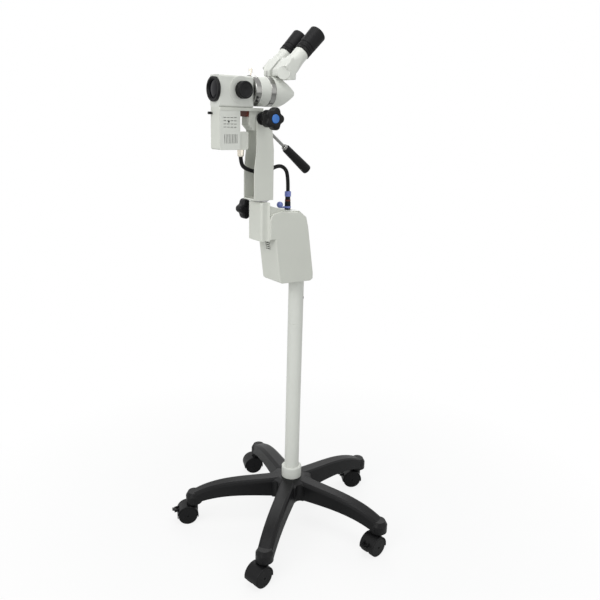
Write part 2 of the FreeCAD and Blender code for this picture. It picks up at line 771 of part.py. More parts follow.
bush = turned_part("clamp_bush", [
    ("post_radius + running_gap", "bush_bottom"), ("bush_radius - running_gap", "bush_bottom"),
    ("bush_radius - running_gap", "socket_top + face_gap"), ("bush_flange", "socket_top + face_gap"),
    ("bush_flange", "socket_top + face_gap + bush_flange_height"),
    ("post_radius + running_gap", "socket_top + face_gap + bush_flange_height")])
notch(bush, "YZ", "0", oblong("bush_radius - 8", "bush_radius + 8", "bush_bottom - 1", "socket_top - 20"),
      "2", midplane=True)
place(bush, "0", "post_place")
post = turned_part("arm_post", [
    ("0", "post_bottom"), ("post_radius - 1", "post_bottom"), ("post_radius", "post_bottom + 1"),
    ("post_radius", "arm_bottom - 2.4"), ("post_flange", "arm_bottom - 2.4"), ("post_flange", "arm_bottom"),
    ("0", "arm_bottom")])
place(post, "0", "post_place")


def star_head(body, start):
    """Five-lobed grip with soft rims, from a height along the knob's own axis."""
    head = disc(body, "XY", start, ("0", "0"), "star_radius", "star_thickness")
    valley = bore(body, "XY", "%s - 1" % start, ("star_valley_place", "0"), "star_valley", "star_thickness + 2",
                  backwards=True)
    polar(body, [valley], "star_lobes")
    round_edges(body, z_axis, "5")
    flat = [i for i, e in enumerate(body.Tip.Shape.Edges, start=1) if e.BoundBox.ZLength < 0.01]
    soft = body.newObject("PartDesign::Fillet", "rounded")
    soft.Base = (soft.BaseFeature, ["Edge%d" % i for i in flat])
    bind(soft, {"Radius": "2.4"})
    doc.recompute()
    return head


knob = new_body("tilt_knob")
place(knob, "arm_half + face_gap", "tilt_place", "tilt_height", "90", y_axis)
star_head(knob, "star_neck_length")
disc(knob, "XY", "0", ("0", "0"), "star_base_radius", "star_base_length")
disc(knob, "XY", "star_base_length - 1", ("0", "0"), "star_neck_radius", "star_neck_length - star_base_length + 2")
bore(knob, "XY", "star_neck_length + star_thickness", ("0", "0"), "cap_radius + running_gap", "cap_depth")
bore(knob, "XY", "0", ("0", "0"), "axle_bolt_radius + running_gap", "star_neck_length + 5", backwards=True)
cap = new_body("knob_cap")
place(cap, "arm_half + face_gap", "tilt_place", "tilt_height", "90", y_axis)
disc(cap, "XY", "star_neck_length + star_thickness - cap_depth", ("0", "0"), "cap_radius", "cap_depth + 1")
rims(cap, sizes["cap_radius"], "Fillet", "0.8", lambda c: c.z > sizes["star_neck_length"] + 25)

knob = new_body("socket_knob")
place(knob, "-socket_half - 2.5", "socket_knob_place", "socket_knob_height", "-90", y_axis)
star_head(knob, "socket_neck_length")
disc(knob, "XY", "0", ("0", "0"), "socket_neck_radius", "socket_neck_length + 2")
disc(knob, "XY", "bush_radius + face_gap - socket_half - 2.5", ("0", "0"), "4", "socket_half - bush_radius + 4")

# lead connector with its locking lever
foot = new_body("lead_connector")
place(foot, "0", "connector_place", "housing_crown + 1.8")
sketch = new_sketch(foot, "XZ")
add_polygon(sketch, [("0", "-8"), ("6.8", "-8"), ("6.8", "0"), ("connector_foot", "0"),
                     ("connector_foot", "connector_foot_height"), ("4.5", "connector_foot_height"),
                     ("4.5", "connector_foot_height + lever_ring_height + 1"),
                     ("connector_radius", "connector_foot_height + lever_ring_height + 1"),
                     ("connector_top_radius", "connector_height"), ("lead_radius + 0.6", "connector_height"),
                     ("lead_radius + 0.6", "connector_height - 4"), ("0", "connector_height - 4")])
revolve(foot, sketch, "V_Axis")
lever = new_body("connector_lever")
place(lever, "0", "connector_place", "housing_crown + 1.8 + connector_foot_height + face_gap")
disc(lever, "XY", "0", ("0", "0"), "lever_ring_radius", "lever_ring_height")
disc(lever, "XZ", "-lever_reach + 6", ("0", "lever_ring_height/2"), "2.2", "lever_reach - 8", backwards=True)
ball = new_sketch(lever, "YZ")
arc = ball.addGeometry(Part.ArcOfCircle(Part.Circle(Vector(-24, 8, 0), z_axis, 8), -math.pi / 2, math.pi / 2), False)
line = ball.addGeometry(Part.LineSegment(Vector(-24, 16, 0), Vector(-24, 0, 0)), False)
ball.addConstraint(Sketcher.Constraint("Coincident", arc, 2, line, 1))
ball.addConstraint(Sketcher.Constraint("Coincident", arc, 1, line, 2))
ball.addConstraint(Sketcher.Constraint("PointOnObject", arc, 3, line))
ball.addConstraint(Sketcher.Constraint("Vertical", line))
for kind, text in (("DistanceX", "-lever_reach"), ("DistanceY", "lever_ball_radius + 1")):
    index = ball.addConstraint(Sketcher.Constraint(kind, -1, 1, arc, 3, 1.0))
    ball.setExpression("Constraints[%d]" % index, formula(text))
index = ball.addConstraint(Sketcher.Constraint("Radius", arc, 8.0))
ball.setExpression("Constraints[%d]" % index, formula("lever_ball_radius"))
feature = lever.newObject("PartDesign::Revolution", "turned")
feature.Profile = ball
feature.ReferenceAxis = (ball, ["Edge2"])
feature.Angle = 360
bore(lever, "XY", "-1", ("0", "0"), "4.5 + running_gap", "20", backwards=True)

# tilt arm: an upright channel with two round ears, open towards the patient
arm = new_body("tilt_arm")
slab(arm, "YZ", "0", [
    ("arm_front_low", "arm_bottom"), ("arm_front_low", "arm_front_step"), ("arm_front_high", "arm_front_step_top"),
    ("tilt_place - ear_radius", "tilt_height"), ("tilt_place + ear_radius", "tilt_height"),
    ("arm_back_high", "arm_back_step"), ("arm_back", "web_top + 4"), ("arm_back", "arm_bottom")],
     "arm_half*2", midplane=True)
disc(arm, "YZ", "0", ("tilt_place", "tilt_height"), "ear_radius", "arm_half*2", midplane=True)
round_edges(arm, z_axis, "4", lambda c: c.y > sizes["arm_back"] - 0.5)
notch(arm, "YZ", "0", [("-220", "arm_bottom + arm_floor"), ("arm_back - arm_plate", "arm_bottom + arm_floor"),
                       ("arm_back - arm_plate", "web_top"), ("arm_back + 60", "web_top"), ("arm_back + 60", "arm_bottom + 326"),
                       ("-220", "arm_bottom + 326")], "arm_half*2 - arm_plate*2", midplane=True)
bore(arm, "XZ", "arm_back - 20", ("0", "web_hole_height"), "web_hole_radius", "40")
bore(arm, "YZ", "0", ("tilt_place", "tilt_height"), "axle_bolt_radius + running_gap", "100", midplane=True)
round_edges(arm, x_axis, "3", lambda c: c.z < height("arm_bottom") + 1 and c.y < sizes["arm_front_low"] + 1)

block = new_body("tilt_block")
slab(block, "YZ", "0", [
    ("block_front", "shelf_bottom"), ("block_front", "block_bottom + block_chamfer"),
    ("block_front + block_chamfer", "block_bottom"), ("block_back - 14", "block_bottom"),
    ("block_back", "block_bottom + 14"), ("block_back", "shelf_bottom")], "block_half*2", midplane=True)
bore(block, "YZ", "0", ("tilt_place", "tilt_height"), "axle_bolt_radius + running_gap", "100", midplane=True)
rod_bore = doc.addObject("Part::Cylinder", "rod")
place(rod_bore, "0", "tilt_place + rod_start*cos(handle_angle*1deg)",
      "tilt_height + rod_start*sin(handle_angle*1deg)",
      "handle_angle - 90", x_axis)
bind(rod_bore, {"Radius": "rod_radius + running_gap", "Height": "60"})
nodes.pop("tilt_block")
block.Label = "block_blank"
node("tilt_block", cut(block, [rod_bore]))
node("tilt_pad", box(("-pad_half", "block_front - pad_depth", "shelf_bottom - pad_height"),
                     ("pad_half*2", "pad_depth", "pad_height")))

bolt = doc.addObject("PartDesign::Body", "bolt")
place(bolt, "0", "tilt_place", "tilt_height", "90", y_axis)
disc(bolt, "XY", "-arm_half - 6", ("0", "0"), "axle_bolt_radius", "arm_half + star_neck_length + 6 + 26")
disc(bolt, "XY", "-arm_half - 6", ("0", "0"), "axle_bolt_radius + 3.5", "6")
washers = []
for start in ("block_half + face_gap", "-arm_half + arm_plate"):
    washer = doc.addObject("PartDesign::Body", "washer")
    place(washer, "0", "tilt_place", "tilt_height", "90", y_axis)
    disc(washer, "XY", start, ("0", "0"), "washer_radius - 1", "arm_half - arm_plate - block_half - face_gap")
    bore(washer, "XY", "-100", ("0", "0"), "axle_bolt_radius", "300", backwards=True)
    washers.append(washer)
node("tilt_axle", group([bolt] + washers))

# handle behind the tilt block
handle_turn = "handle_angle - 90"
rod = new_body("handle_rod")
place(rod, "0", "tilt_place", "tilt_height", handle_turn, x_axis)
sketch = new_sketch(rod, "XZ")
add_polygon(sketch, [("0", "rod_start"), ("rod_radius", "rod_start"), ("rod_radius", "handle_collar_start"),
                     ("handle_collar_radius - 1.5", "handle_collar_start"),
                     ("handle_collar_radius", "handle_collar_start + 1.5"), ("handle_collar_radius", "grip_start"),
                     ("rod_radius", "grip_start"), ("rod_radius", "grip_start + rod_in_grip"), ("0", "grip_start + rod_in_grip")])
revolve(rod, sketch, "V_Axis")
grip = new_body("handle_grip")
place(grip, "0", "tilt_place", "tilt_height", handle_turn, x_axis)
sketch = new_sketch(grip, "XZ")
add_polygon(sketch, [("rod_radius", "grip_start"), ("grip_radius_near", "grip_start"),
                     ("grip_radius_near + 0.6", "grip_start + 25"), ("grip_radius_far - 0.7", "grip_end - 28"),
                     ("grip_radius_far", "grip_end - 12"), ("grip_radius_far - 0.6", "grip_end - 5"),
                     ("grip_radius_far - 3.2", "grip_end - 1"), ("grip_radius_far - 6", "grip_end"),
                     ("0", "grip_end"), ("0", "grip_start + rod_in_grip"), ("rod_radius", "grip_start + rod_in_grip")])
revolve(grip, sketch, "V_Axis")

# shelf with the lamp box hanging from it
shelf = new_body("head_shelf")
slab(shelf, "XY", "shelf_bottom", oblong("-head_half", "head_half", "head_front", "shelf_back"), "shelf_thickness")
round_edges(shelf, z_axis, "3")

lamp = new_body("lamp_box")
slab(lamp, "YZ", "-lamp_half", oblong("head_front", "lamp_back", "lamp_bottom", "shelf_bottom"), "lamp_half*2")
slab(lamp, "YZ", "-lamp_tail_half", oblong("lamp_back - 2", "lamp_tail", "lamp_bottom", "lamp_tail_top"),
     "lamp_tail_half*2")
round_edges(lamp, x_axis, "5", lambda c: c.z < height("lamp_bottom") + 1)
notch(lamp, "YZ", "-lamp_half + lamp_wall", oblong("head_front + lamp_wall", "lamp_back - lamp_wall",
                                                   "lamp_bottom + lamp_wall", "shelf_bottom - lamp_wall"), "80",
      backwards=True)
notch(lamp, "YZ", "0", oblong("lamp_back - lamp_wall - 1", "lamp_tail - lamp_wall", "lamp_bottom + lamp_wall",
                              "lamp_tail_top - lamp_wall"), "lamp_tail_half*2 - lamp_wall*2", midplane=True)
bore(lamp, "XY", "lamp_bottom - 5", ("0", "gland_place"), "gland_bore + running_gap", "12", backwards=True)
bore(lamp, "XZ", "head_front - 5", ("filter_place", "filter_height"), "filter_rod + running_gap", "12")

panel = new_body("lamp_side_panel")
slab(panel, "YZ", "lamp_half", oblong("head_front + 0.5", "lamp_back - 0.5", "lamp_bottom + 0.5",
                                      "shelf_bottom - 0.5"), "panel_margin")
slot = notch(panel, "YZ", "lamp_half - 1", oblong("grille_start", "grille_start + grille_slot", "grille_bottom",
                                                  "grille_bottom + grille_height"), "5", backwards=True)
linear(panel, [slot], "Y", "grille_pitch*(grille_count - 1)", "grille_count")
slits = []
for row in range(sizes["slit_rows"]):
    low = "slit_lowest + slit_row_pitch*%d" % row
    slit = notch(panel, "YZ", "lamp_half - 1", oblong("slit_start", "slit_start + slit_length", low, low + " + slit_height"),
                 "5", backwards=True)
    linear(panel, [slit], "Y", "slit_pitch*(slit_columns - 1)", "slit_columns")
bore(panel, "YZ", "lamp_half - 1", ("head_front + 25", "lamp_bottom + 65"), "2.6", "5", backwards=True)
sink = box(("-lamp_half + lamp_wall", "head_front + 10", "lamp_bottom + 15"), ("26", "36", "34"))
barrel = cylinder("9", "16", ("-2", "head_front + 28", "lamp_bottom + 49"))
node("led_module", fuse([sink, barrel]))

gland = new_body("lamp_gland")
place(gland, "0", "gland_place", "lamp_bottom")
sketch = new_sketch(gland, "XZ")
add_polygon(sketch, [("lead_radius + 0.1", "-gland_nut - gland_dome"), ("gland_radius - 2", "-gland_nut - gland_dome"),
                     ("gland_radius - 0.5", "-gland_nut - gland_dome + 3"), ("gland_radius - 0.5", "-gland_nut"),
                     ("gland_radius", "-gland_nut"), ("gland_radius", "0"), ("gland_bore", "0"), ("gland_bore", "4"),
                     ("gland_bore - 1.6", "4"), ("gland_bore - 1.6", "-gland_nut"), ("lead_radius + 0.1", "-gland_nut")])
revolve(gland, sketch, "V_Axis")

filter_knob = new_body("filter_knob")
place(filter_knob, "filter_place", "head_front", "filter_height")
disc(filter_knob, "XZ", "-3", ("0", "0"), "filter_knob_radius", "filter_knob_length")
disc(filter_knob, "XZ", "-4", ("0", "0"), "filter_rod", "20", backwards=True)

# optics body
body = new_body("optics_body")
slab(body, "YZ", "0", oblong("head_front", "body_back", "shelf_bottom + shelf_thickness", "body_top"),
     "head_half*2", midplane=True)
round_edges(body, y_axis, "body_round")
disc(body, "YZ", "0", ("magnifier_place", "optic_height"), "magnifier_cover_radius",
     "head_half*2 + magnifier_cover_depth*2", midplane=True)
bore(body, "XZ", "head_front - 5", ("0", "optic_height"), "objective_spigot", "100")
bore(body, "YZ", "0", ("magnifier_place", "optic_height"), "magnifier_drum + 1", "magnifier_drum_half*2 + 1",
     midplane=True)
bore(body, "YZ", "0", ("magnifier_place", "optic_height"), "magnifier_shaft + running_gap", "100", midplane=True)

ring = new_body("objective_ring")
place(ring, "0", "head_front", "optic_height", "90", x_axis)
sketch = new_sketch(ring, "XZ")
add_polygon(sketch, [("objective_bore - 2", "0"), ("objective_radius", "0"), ("objective_radius", "objective_depth - 1"),
                     ("objective_radius - 1", "objective_depth"), ("objective_bore + 1", "objective_depth"),
                     ("objective_bore", "objective_depth - 1"), ("objective_bore", "3"),
                     ("lens_radius + running_gap", "3"), ("lens_radius + running_gap", "1.6"),
                     ("objective_bore - 2", "1.6")])
revolve(ring, sketch, "V_Axis")
lens = new_body("objective_lens")
place(lens, "0", "head_front", "optic_height", "90", x_axis)
sketch = new_sketch(lens, "XZ")
add_polygon(sketch, [("0", "1.6"), ("lens_radius", "1.6"), ("lens_radius", "2.1"), ("lens_radius*0.66", "2.5"),
                     ("lens_radius*0.33", "2.7"), ("0", "2.75")])
revolve(lens, sketch, "V_Axis")

drum = doc.addObject("PartDesign::Body", "drum")
place(drum, "0", "magnifier_place", "optic_height", "90", y_axis)
disc(drum, "XY", "0", ("0", "0"), "magnifier_drum", "magnifier_drum_half*2", midplane=True)
disc(drum, "XY", "0", ("0", "0"), "magnifier_shaft", "magnifier_knob_start*2 + 8", midplane=True)
for side in ("magnifier_beam_offset", "-magnifier_beam_offset"):
    bore(drum, "XZ", "0", ("0", side), "magnifier_beam", "80", midplane=True)
node("magnification_drum", drum)
knobs = []
for turn in ("90", "-90"):
    knob = doc.addObject("PartDesign::Body", "knob")
    place(knob, "0", "magnifier_place", "optic_height", turn, y_axis)
    disc(knob, "XY", "magnifier_knob_start", ("0", "0"), "magnifier_knob_radius", "magnifier_knob_depth")
    rims(knob, sizes["magnifier_knob_radius"], "Fillet", "2")
    bore(knob, "XY", "magnifier_knob_start - 1", ("0", "0"), "magnifier_shaft", "5.4", backwards=True)
    bore(knob, "XY", "magnifier_knob_start + magnifier_knob_depth", ("0", "0"), "magnifier_knob_radius - 5", "1.5")
    knobs.append(knob)
node("magnification_knobs", group(knobs))


def ring_part(name, front, back, outer, groove):
    """Ring on the optical axis, from front to back, with bevelled rims."""
    part = new_body(name)
    place(part, "0", front, "optic_height", "-90", x_axis)
    sketch = new_sketch(part, "XZ")
    length = "(%s - (%s))" % (back, front)
    profile = [("ring_bore", "0"), ("%s - 1" % outer, "0"), (outer, "1")]
    if groove:
        profile += [(outer, "%s - 7" % length), ("%s - 1.5" % outer, "%s - 6" % length),
                    ("%s - 1.5" % outer, "%s - 1" % length)]
    else:
        profile += [(outer, "%s - 1" % length), ("%s - 1" % outer, length)]
    if groove:
        profile += [("%s - 1.5" % outer, length)]
    add_polygon(sketch, profile + [("ring_bore", length)])
    revolve(part, sketch, "V_Axis")
    return part


ring = ring_part("dovetail_ring", "body_back", "ring_back", "ring_radius", True)
seat = cylinder("thumbscrew_shank + running_gap", "60", ("0", "thumbscrew_place", "optic_height + ring_bore - 2"))
nodes.pop("dovetail_ring")
ring.Label = "dovetail_blank"
node("dovetail_ring", cut(ring, [seat]))
ring_part("binocular_drum", "ring_back", "drum_back", "ring_radius", False)
lock = ring_part("lock_ring", "drum_back", "lock_back - face_gap", "lock_radius", False)
nodes.pop("lock_ring")
lock.Label = "lock_blank"
pin = cylinder("pin_radius", "pin_top - optic_height - lock_radius + 2", ("0", "pin_place",
                                                                        "optic_height + lock_radius - 2"))
node("lock_ring", fuse([lock, pin]))
thumb = turned_part("ring_thumbscrew", [
    ("0", "optic_height + ring_bore + 1"), ("thumbscrew_shank", "optic_height + ring_bore + 1"),
    ("thumbscrew_shank", "thumbscrew_head_bottom"), ("thumbscrew_head", "thumbscrew_head_bottom"),
    ("thumbscrew_head", "thumbscrew_head_top - 1"), ("thumbscrew_head - 1", "thumbscrew_head_top"),
    ("0", "thumbscrew_head_top")])
place(thumb, "0", "thumbscrew_place")

# binocular: wedge, two sliding prism boxes, eyepieces
wedge = new_body("binocular_base")
disc(wedge, "XZ", "lock_back", ("0", "optic_height"), "ring_radius", "75", backwards=True)
notch(wedge, "YZ", "0", [("lock_back - 20", "seam_sum - lock_back + 20"), ("20", "seam_sum - 20"),
                         ("20", "seam_sum + 200"), ("lock_back - 20", "seam_sum + 200")], "200", midplane=True)
nose_low = "(optic_height - 94.5)"
nose_high = "(optic_height + 55.5)"
notch(wedge, "YZ", "0", [("%s - nose_difference" % nose_low, nose_low), ("%s - nose_difference" % nose_high, nose_high),
                         ("60", nose_high), ("60", nose_low)], "200", midplane=True)
disc(wedge, "XZ", "lock_back - spigot_depth", ("0", "optic_height"), "spigot_radius", "spigot_depth + 6",
     backwards=True)
round_edges(wedge, x_axis, "4", lambda c: c.y > -45)


def prism_box(name, side):
    """Octagonal prism housing standing on the wedge's sloping face."""
    part = new_body(name)
    outward = side > 0
    sign = "" if outward else "-"
    slab(part, "YZ", "%sprism_inner" % sign, [
        ("prism_front", "seam_sum + 84"), ("prism_front", "prism_front_top"),
        ("prism_front + 20", "prism_front_top + 20"), ("prism_back", "prism_shoulder + seam_sum - prism_back"),
        ("prism_back", "prism_back_low"), ("prism_heel", "seam_sum + 0.4 - prism_heel"),
        ("-83.5", "seam_sum + 0.4 + 83.5")], "prism_outer - prism_inner", backwards=not outward)
    notch(part, "XY", "seam_sum + 20", [
        ("%s(prism_outer - prism_front_chamfer)" % sign, "prism_front - 0.01"),
        ("%s(prism_outer + 0.01)" % sign, "prism_front - 0.01"),
        ("%s(prism_outer + 0.01)" % sign, "prism_front + prism_front_chamfer")], "180", backwards=True)
    notch(part, "XY", "seam_sum + 20", [
        ("%s(prism_outer - prism_back_chamfer)" % sign, "prism_back + 0.01"),
        ("%s(prism_outer + 0.01)" % sign, "prism_back + 0.01"),
        ("%s(prism_outer + 0.01)" % sign, "prism_back - prism_back_chamfer")], "180", backwards=True)
    return part


def on_eye_axis(item, side):
    """Local Z along the eyepiece, from the wedge's sloping face."""
    place(item, "%s" % side + "eye_half", "(seam_sum - eye_difference)/2", "(seam_sum + eye_difference)/2", "-eye_angle", x_axis)


for hand, side in (("right", 1), ("left", -1)):
    sign = "" if side > 0 else "-"
    blank = prism_box("prism_blank_" + hand, side)
    nodes.pop("prism_blank_" + hand)
    tube = doc.addObject("PartDesign::Body", "tube")
    on_eye_axis(tube, sign)
    disc(tube, "XY", "tube_end - 48", ("0", "0"), "tube_radius", "48")
    boss = doc.addObject("Part::Cylinder", "rod")
    boss.Placement = Placement(Vector(), Rotation(z_axis, Vector(side, -1, 0)))
    bind(boss, {"Radius": "boss_radius - 2.6", "Height": "boss_depth + 2",
                "Placement.Base.x": "%s(prism_outer - prism_front_chamfer/2 - 1.4)" % sign,
                "Placement.Base.y": "prism_front + prism_front_chamfer/2 + 1.4",
                "Placement.Base.z": "prism_front_top - 7"})
    hole = doc.addObject("PartDesign::Body", "hole")
    on_eye_axis(hole, sign)
    disc(hole, "XY", "tube_end - 14", ("0", "0"), "sleeve_radius + running_gap", "60")
    node("prism_" + hand, cut(fuse([blank, tube, boss]), [hole]))

    ring = new_body("diopter_" + hand)
    on_eye_axis(ring, sign)
    disc(ring, "XY", "tube_end + face_gap", ("0", "0"), "diopter_radius", "diopter_length")
    rims(ring, sizes["diopter_radius"], "Chamfer", "0.8")
    bore(ring, "XY", "tube_end - 5", ("0", "0"), "sleeve_radius + running_gap", "30", backwards=True)

    eye = new_body("eyepiece_" + hand)
    on_eye_axis(eye, sign)
    start = "tube_end + diopter_length + face_gap*2"
    length = "eyepiece_length" if side > 0 else "eyepiece_length - 5"
    sketch = new_sketch(eye, "XZ")
    add_polygon(sketch, [("7", "tube_end - sleeve_length"), ("sleeve_radius", "tube_end - sleeve_length"),
                         ("sleeve_radius", start), ("eyepiece_radius_low - 1", start),
                         ("eyepiece_radius_low", "%s + 1" % start), ("eyepiece_radius_low", "%s + 8" % start),
                         ("eyepiece_radius_low - 1.2", "%s + 9" % start),
                         ("eyepiece_radius_low - 1.2", "%s + 12" % start),
                         ("eyepiece_radius_low + 0.3", "%s + 13.5" % start),
                         ("eyepiece_radius_high", "%s + %s - 2" % (start, length)),
                         ("eyepiece_radius_high - 2", "%s + %s" % (start, length)),
                         ("eyepiece_radius_high - eyecup_wall", "%s + %s" % (start, length)),
                         ("eyepiece_radius_high - eyecup_wall - 3", "%s + %s - eyecup_depth" % (start, length)),
                         ("7", "%s + %s - eyecup_depth" % (start, length))])
    revolve(eye, sketch, "V_Axis")


# lead from the lamp's gland through the arm's web to the connector, in three pieces
def cord(name, points):
    """Round tube along straight runs joined by tangent arcs."""
    body = new_body(name)
    path = new_sketch(body, "YZ")
    count = len(points)
    for i, (across, along) in enumerate(points):
        path.addGeometry(Part.Point(Vector(10 * i, 5, 0)), True)
        for kind, text in (("DistanceX", across), ("DistanceY", along)):
            index = path.addConstraint(Sketcher.Constraint(kind, -1, 1, i, 1, 1.0 + i))
            path.setExpression("Constraints[%d]" % index, formula(text))
    doc.recompute()
    spots = [Vector(path.Geometry[i].X, path.Geometry[i].Y, 0) for i in range(count)]
    corners = []
    start = spots[0]
    for i in range(1, count - 1):
        before = spots[i] - spots[i - 1]
        after = spots[i + 1] - spots[i]
        turn = before.getAngle(after)
        reach = 0.45 * min(before.Length, after.Length)
        radius = reach / math.tan(turn / 2)
        enter = spots[i] - Vector(before).normalize() * reach
        leave = spots[i] + Vector(after).normalize() * reach
        side = 1 if before.cross(after).z > 0 else -1
        centre = enter + Vector(-before.y, before.x, 0).normalize() * side * radius
        angles = [math.atan2(p.y - centre.y, p.x - centre.x) for p in (enter, leave)]
        line = path.addGeometry(Part.LineSegment(start, enter), False)
        circle = Part.Circle(centre, z_axis, radius)
        arc = path.addGeometry(Part.ArcOfCircle(circle, angles[0], angles[1]) if side > 0
                               else Part.ArcOfCircle(circle, angles[1], angles[0]), False)
        corners.append((i, line, arc, (1, 2) if side > 0 else (2, 1), radius))
        start = leave
    last = path.addGeometry(Part.LineSegment(start, spots[-1]), False)
    path.addConstraint(Sketcher.Constraint("Coincident", corners[0][1] if corners else last, 1, 0, 1))
    for number, (i, line, arc, ends, radius) in enumerate(corners):
        following = corners[number + 1][1] if number + 1 < len(corners) else last
        path.addConstraint(Sketcher.Constraint("Tangent", line, 2, arc, ends[0]))
        path.addConstraint(Sketcher.Constraint("Tangent", arc, ends[1], following, 1))
        path.addConstraint(Sketcher.Constraint("PointOnObject", i, 1, line))
        path.addConstraint(Sketcher.Constraint("PointOnObject", i, 1, following))
        path.addConstraint(Sketcher.Constraint("Radius", arc, radius))
    path.addConstraint(Sketcher.Constraint("Coincident", last, 2, count - 1, 1))
    doc.recompute()
    section = body.newObject("Sketcher::SketchObject", "section")
    section.AttachmentSupport = [(path, "Edge1")]
    section.MapMode = "NormalToEdge"
    section.MapPathParameter = 0.0
    add_circle(section, "0", "0", "lead_radius")
    tube = body.newObject("PartDesign::AdditivePipe", "tube")
    tube.Profile = section
    tube.Spine = (path, ["Edge%d" % (i + 1) for i in range(len(path.Shape.Edges))])
    doc.recompute()
    print(name, "length %.1f" % path.Shape.Length, "radii", ["%.0f" % c[4] for c in corners],
          "volume ratio %.4f" % (tube.Shape.Volume / (path.Shape.Length * math.pi * sizes["lead_radius"] ** 2)))


cord("lead_upper", [("gland_place", "lamp_bottom - gland_nut - gland_dome + 6"), ("gland_place", "lamp_bottom - 31.6"),
                    ("-166.8", "web_hole_height + 5.8"), ("-130", "web_hole_height - 2.4")])
cord("lead_middle", [("-129.56", "web_hole_height - 2.5"), ("-110", "web_hole_height - 7"),
                     ("-95.2", "web_hole_height + 1")])
cord("lead_lower", [("-94.8", "web_hole_height + 1.2"), ("-75", "web_hole_height + 12"),
                    ("-51", "web_hole_height + 10.5"), ("connector_place", "web_hole_height - 9.4"),
                    ("connector_place", "housing_crown + 1.8 + connector_height - 4")])

doc.recompute()
faults = []
for item in doc.Objects:
    if any(word in ("Invalid", "Error") for word in item.State):
        faults.append("%s %s" % (item.Label, item.State))
total = 0
for name, item in nodes.items():
    shape = item.Shape
    if shape.isNull() or not shape.isValid():
        faults.append(name + " has no valid shape")
        continue
    total += len(shape.Solids)
    shape.exportStep("parts/%s.step" % name)
print(len(nodes), "nodes", total, "solids")
if faults:
    raise RuntimeError("; ".join(faults))
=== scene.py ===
import json
import math
import bpy
import bmesh
from mathutils import Matrix, Vector


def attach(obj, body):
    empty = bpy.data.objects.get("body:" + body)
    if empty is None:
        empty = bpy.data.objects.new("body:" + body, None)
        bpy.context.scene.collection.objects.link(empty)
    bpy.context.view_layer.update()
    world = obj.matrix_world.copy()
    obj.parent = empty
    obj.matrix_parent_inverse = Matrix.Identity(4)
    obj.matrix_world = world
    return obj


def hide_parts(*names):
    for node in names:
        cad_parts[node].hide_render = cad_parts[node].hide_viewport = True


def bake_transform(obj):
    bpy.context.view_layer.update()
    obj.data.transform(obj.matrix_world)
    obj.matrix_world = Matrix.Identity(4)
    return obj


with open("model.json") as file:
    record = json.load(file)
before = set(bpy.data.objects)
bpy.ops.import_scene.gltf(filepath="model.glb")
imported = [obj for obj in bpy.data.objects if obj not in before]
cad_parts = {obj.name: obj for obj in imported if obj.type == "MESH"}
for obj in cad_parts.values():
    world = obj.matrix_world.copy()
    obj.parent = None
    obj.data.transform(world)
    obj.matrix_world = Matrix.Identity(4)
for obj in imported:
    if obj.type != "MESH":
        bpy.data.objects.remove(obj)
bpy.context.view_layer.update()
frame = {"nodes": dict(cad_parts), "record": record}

nodes = frame["nodes"]
print("frame loaded,", len(nodes), "nodes")

# camera and studio

view = {
    "place": (1.3595, -1.0323, 1.1808),
    "sight": (-0.7614, 0.5864, -0.2764),
    "roll": 0.0277,  # radians, the photograph leans a little
    "lens": 38.48,  # millimetres on a 36 mm sensor
}


def addCamera():
    data = bpy.data.cameras.new("view")
    data.lens = view["lens"]
    data.sensor_width = 36
    data.clip_end = 30
    camera = bpy.data.objects.new("view", data)
    bpy.context.scene.collection.objects.link(camera)
    aim = Vector(view["sight"]).to_track_quat("-Z", "Y").to_matrix().to_4x4()
    camera.matrix_world = Matrix.Translation(view["place"]) @ aim @ Matrix.Rotation(view["roll"], 4, "Z")
    bpy.context.scene.camera = camera


lamps = {
    "key": {"place": (0.7, -2.7, 2.2), "size": 1.7, "power": 38},
    "fill": {"place": (2.6, 0.6, 1.6), "size": 2.0, "power": 9},
    "top": {"place": (0.5, -0.3, 3.4), "size": 1.6, "power": 26},
    "rim": {"place": (-1.8, 1.4, 2.4), "size": 1.5, "power": 16},
}
lampAim = (0, 0, 0.9)  # the middle of the stand


def addLamps():
    for name, lamp in lamps.items():
        data = bpy.data.lights.new(name, "AREA")
        data.shape = "SQUARE"
        data.size = lamp["size"]
        data.energy = lamp["power"]
        light = bpy.data.objects.new(name, data)
        bpy.context.scene.collection.objects.link(light)
        light.location = lamp["place"]
        aim = Vector(lampAim) - Vector(lamp["place"])
        light.rotation_euler = aim.to_track_quat("-Z", "Y").to_euler()


def addWorld():
    world = bpy.data.worlds.new("studio")
    bpy.context.scene.world = world
    world.use_nodes = True
    tree = world.node_tree
    tree.nodes.clear()
    out = tree.nodes.new("ShaderNodeOutputWorld")
    mix = tree.nodes.new("ShaderNodeMixShader")
    room = tree.nodes.new("ShaderNodeBackground")
    room.inputs["Color"].default_value = (0.97, 1.0, 0.98, 1)
    room.inputs["Strength"].default_value = 0.5
    white = tree.nodes.new("ShaderNodeBackground")
    white.inputs["Color"].default_value = (1, 1, 1, 1)
    white.inputs["Strength"].default_value = 1.0
    path = tree.nodes.new("ShaderNodeLightPath")
    seen = [tree.nodes.new("ShaderNodeMath") for ray in range(2)]
    seen[0].operation = seen[1].operation = "MAXIMUM"
    tree.links.new(path.outputs["Is Camera Ray"], seen[0].inputs[0])
    tree.links.new(path.outputs["Is Glossy Ray"], seen[0].inputs[1])
    tree.links.new(seen[0].outputs[0], seen[1].inputs[0])
    tree.links.new(path.outputs["Is Transmission Ray"], seen[1].inputs[1])
    tree.links.new(seen[1].outputs[0], mix.inputs[0])
    tree.links.new(room.outputs[0], mix.inputs[1])
    tree.links.new(white.outputs[0], mix.inputs[2])
    tree.links.new(mix.outputs[0], out.inputs["Surface"])


floor = {"half": 6.0, "white": 0.8, "glow": 0.84, "near": 0.5, "far": 1.1}  # the glow fades in from near to far


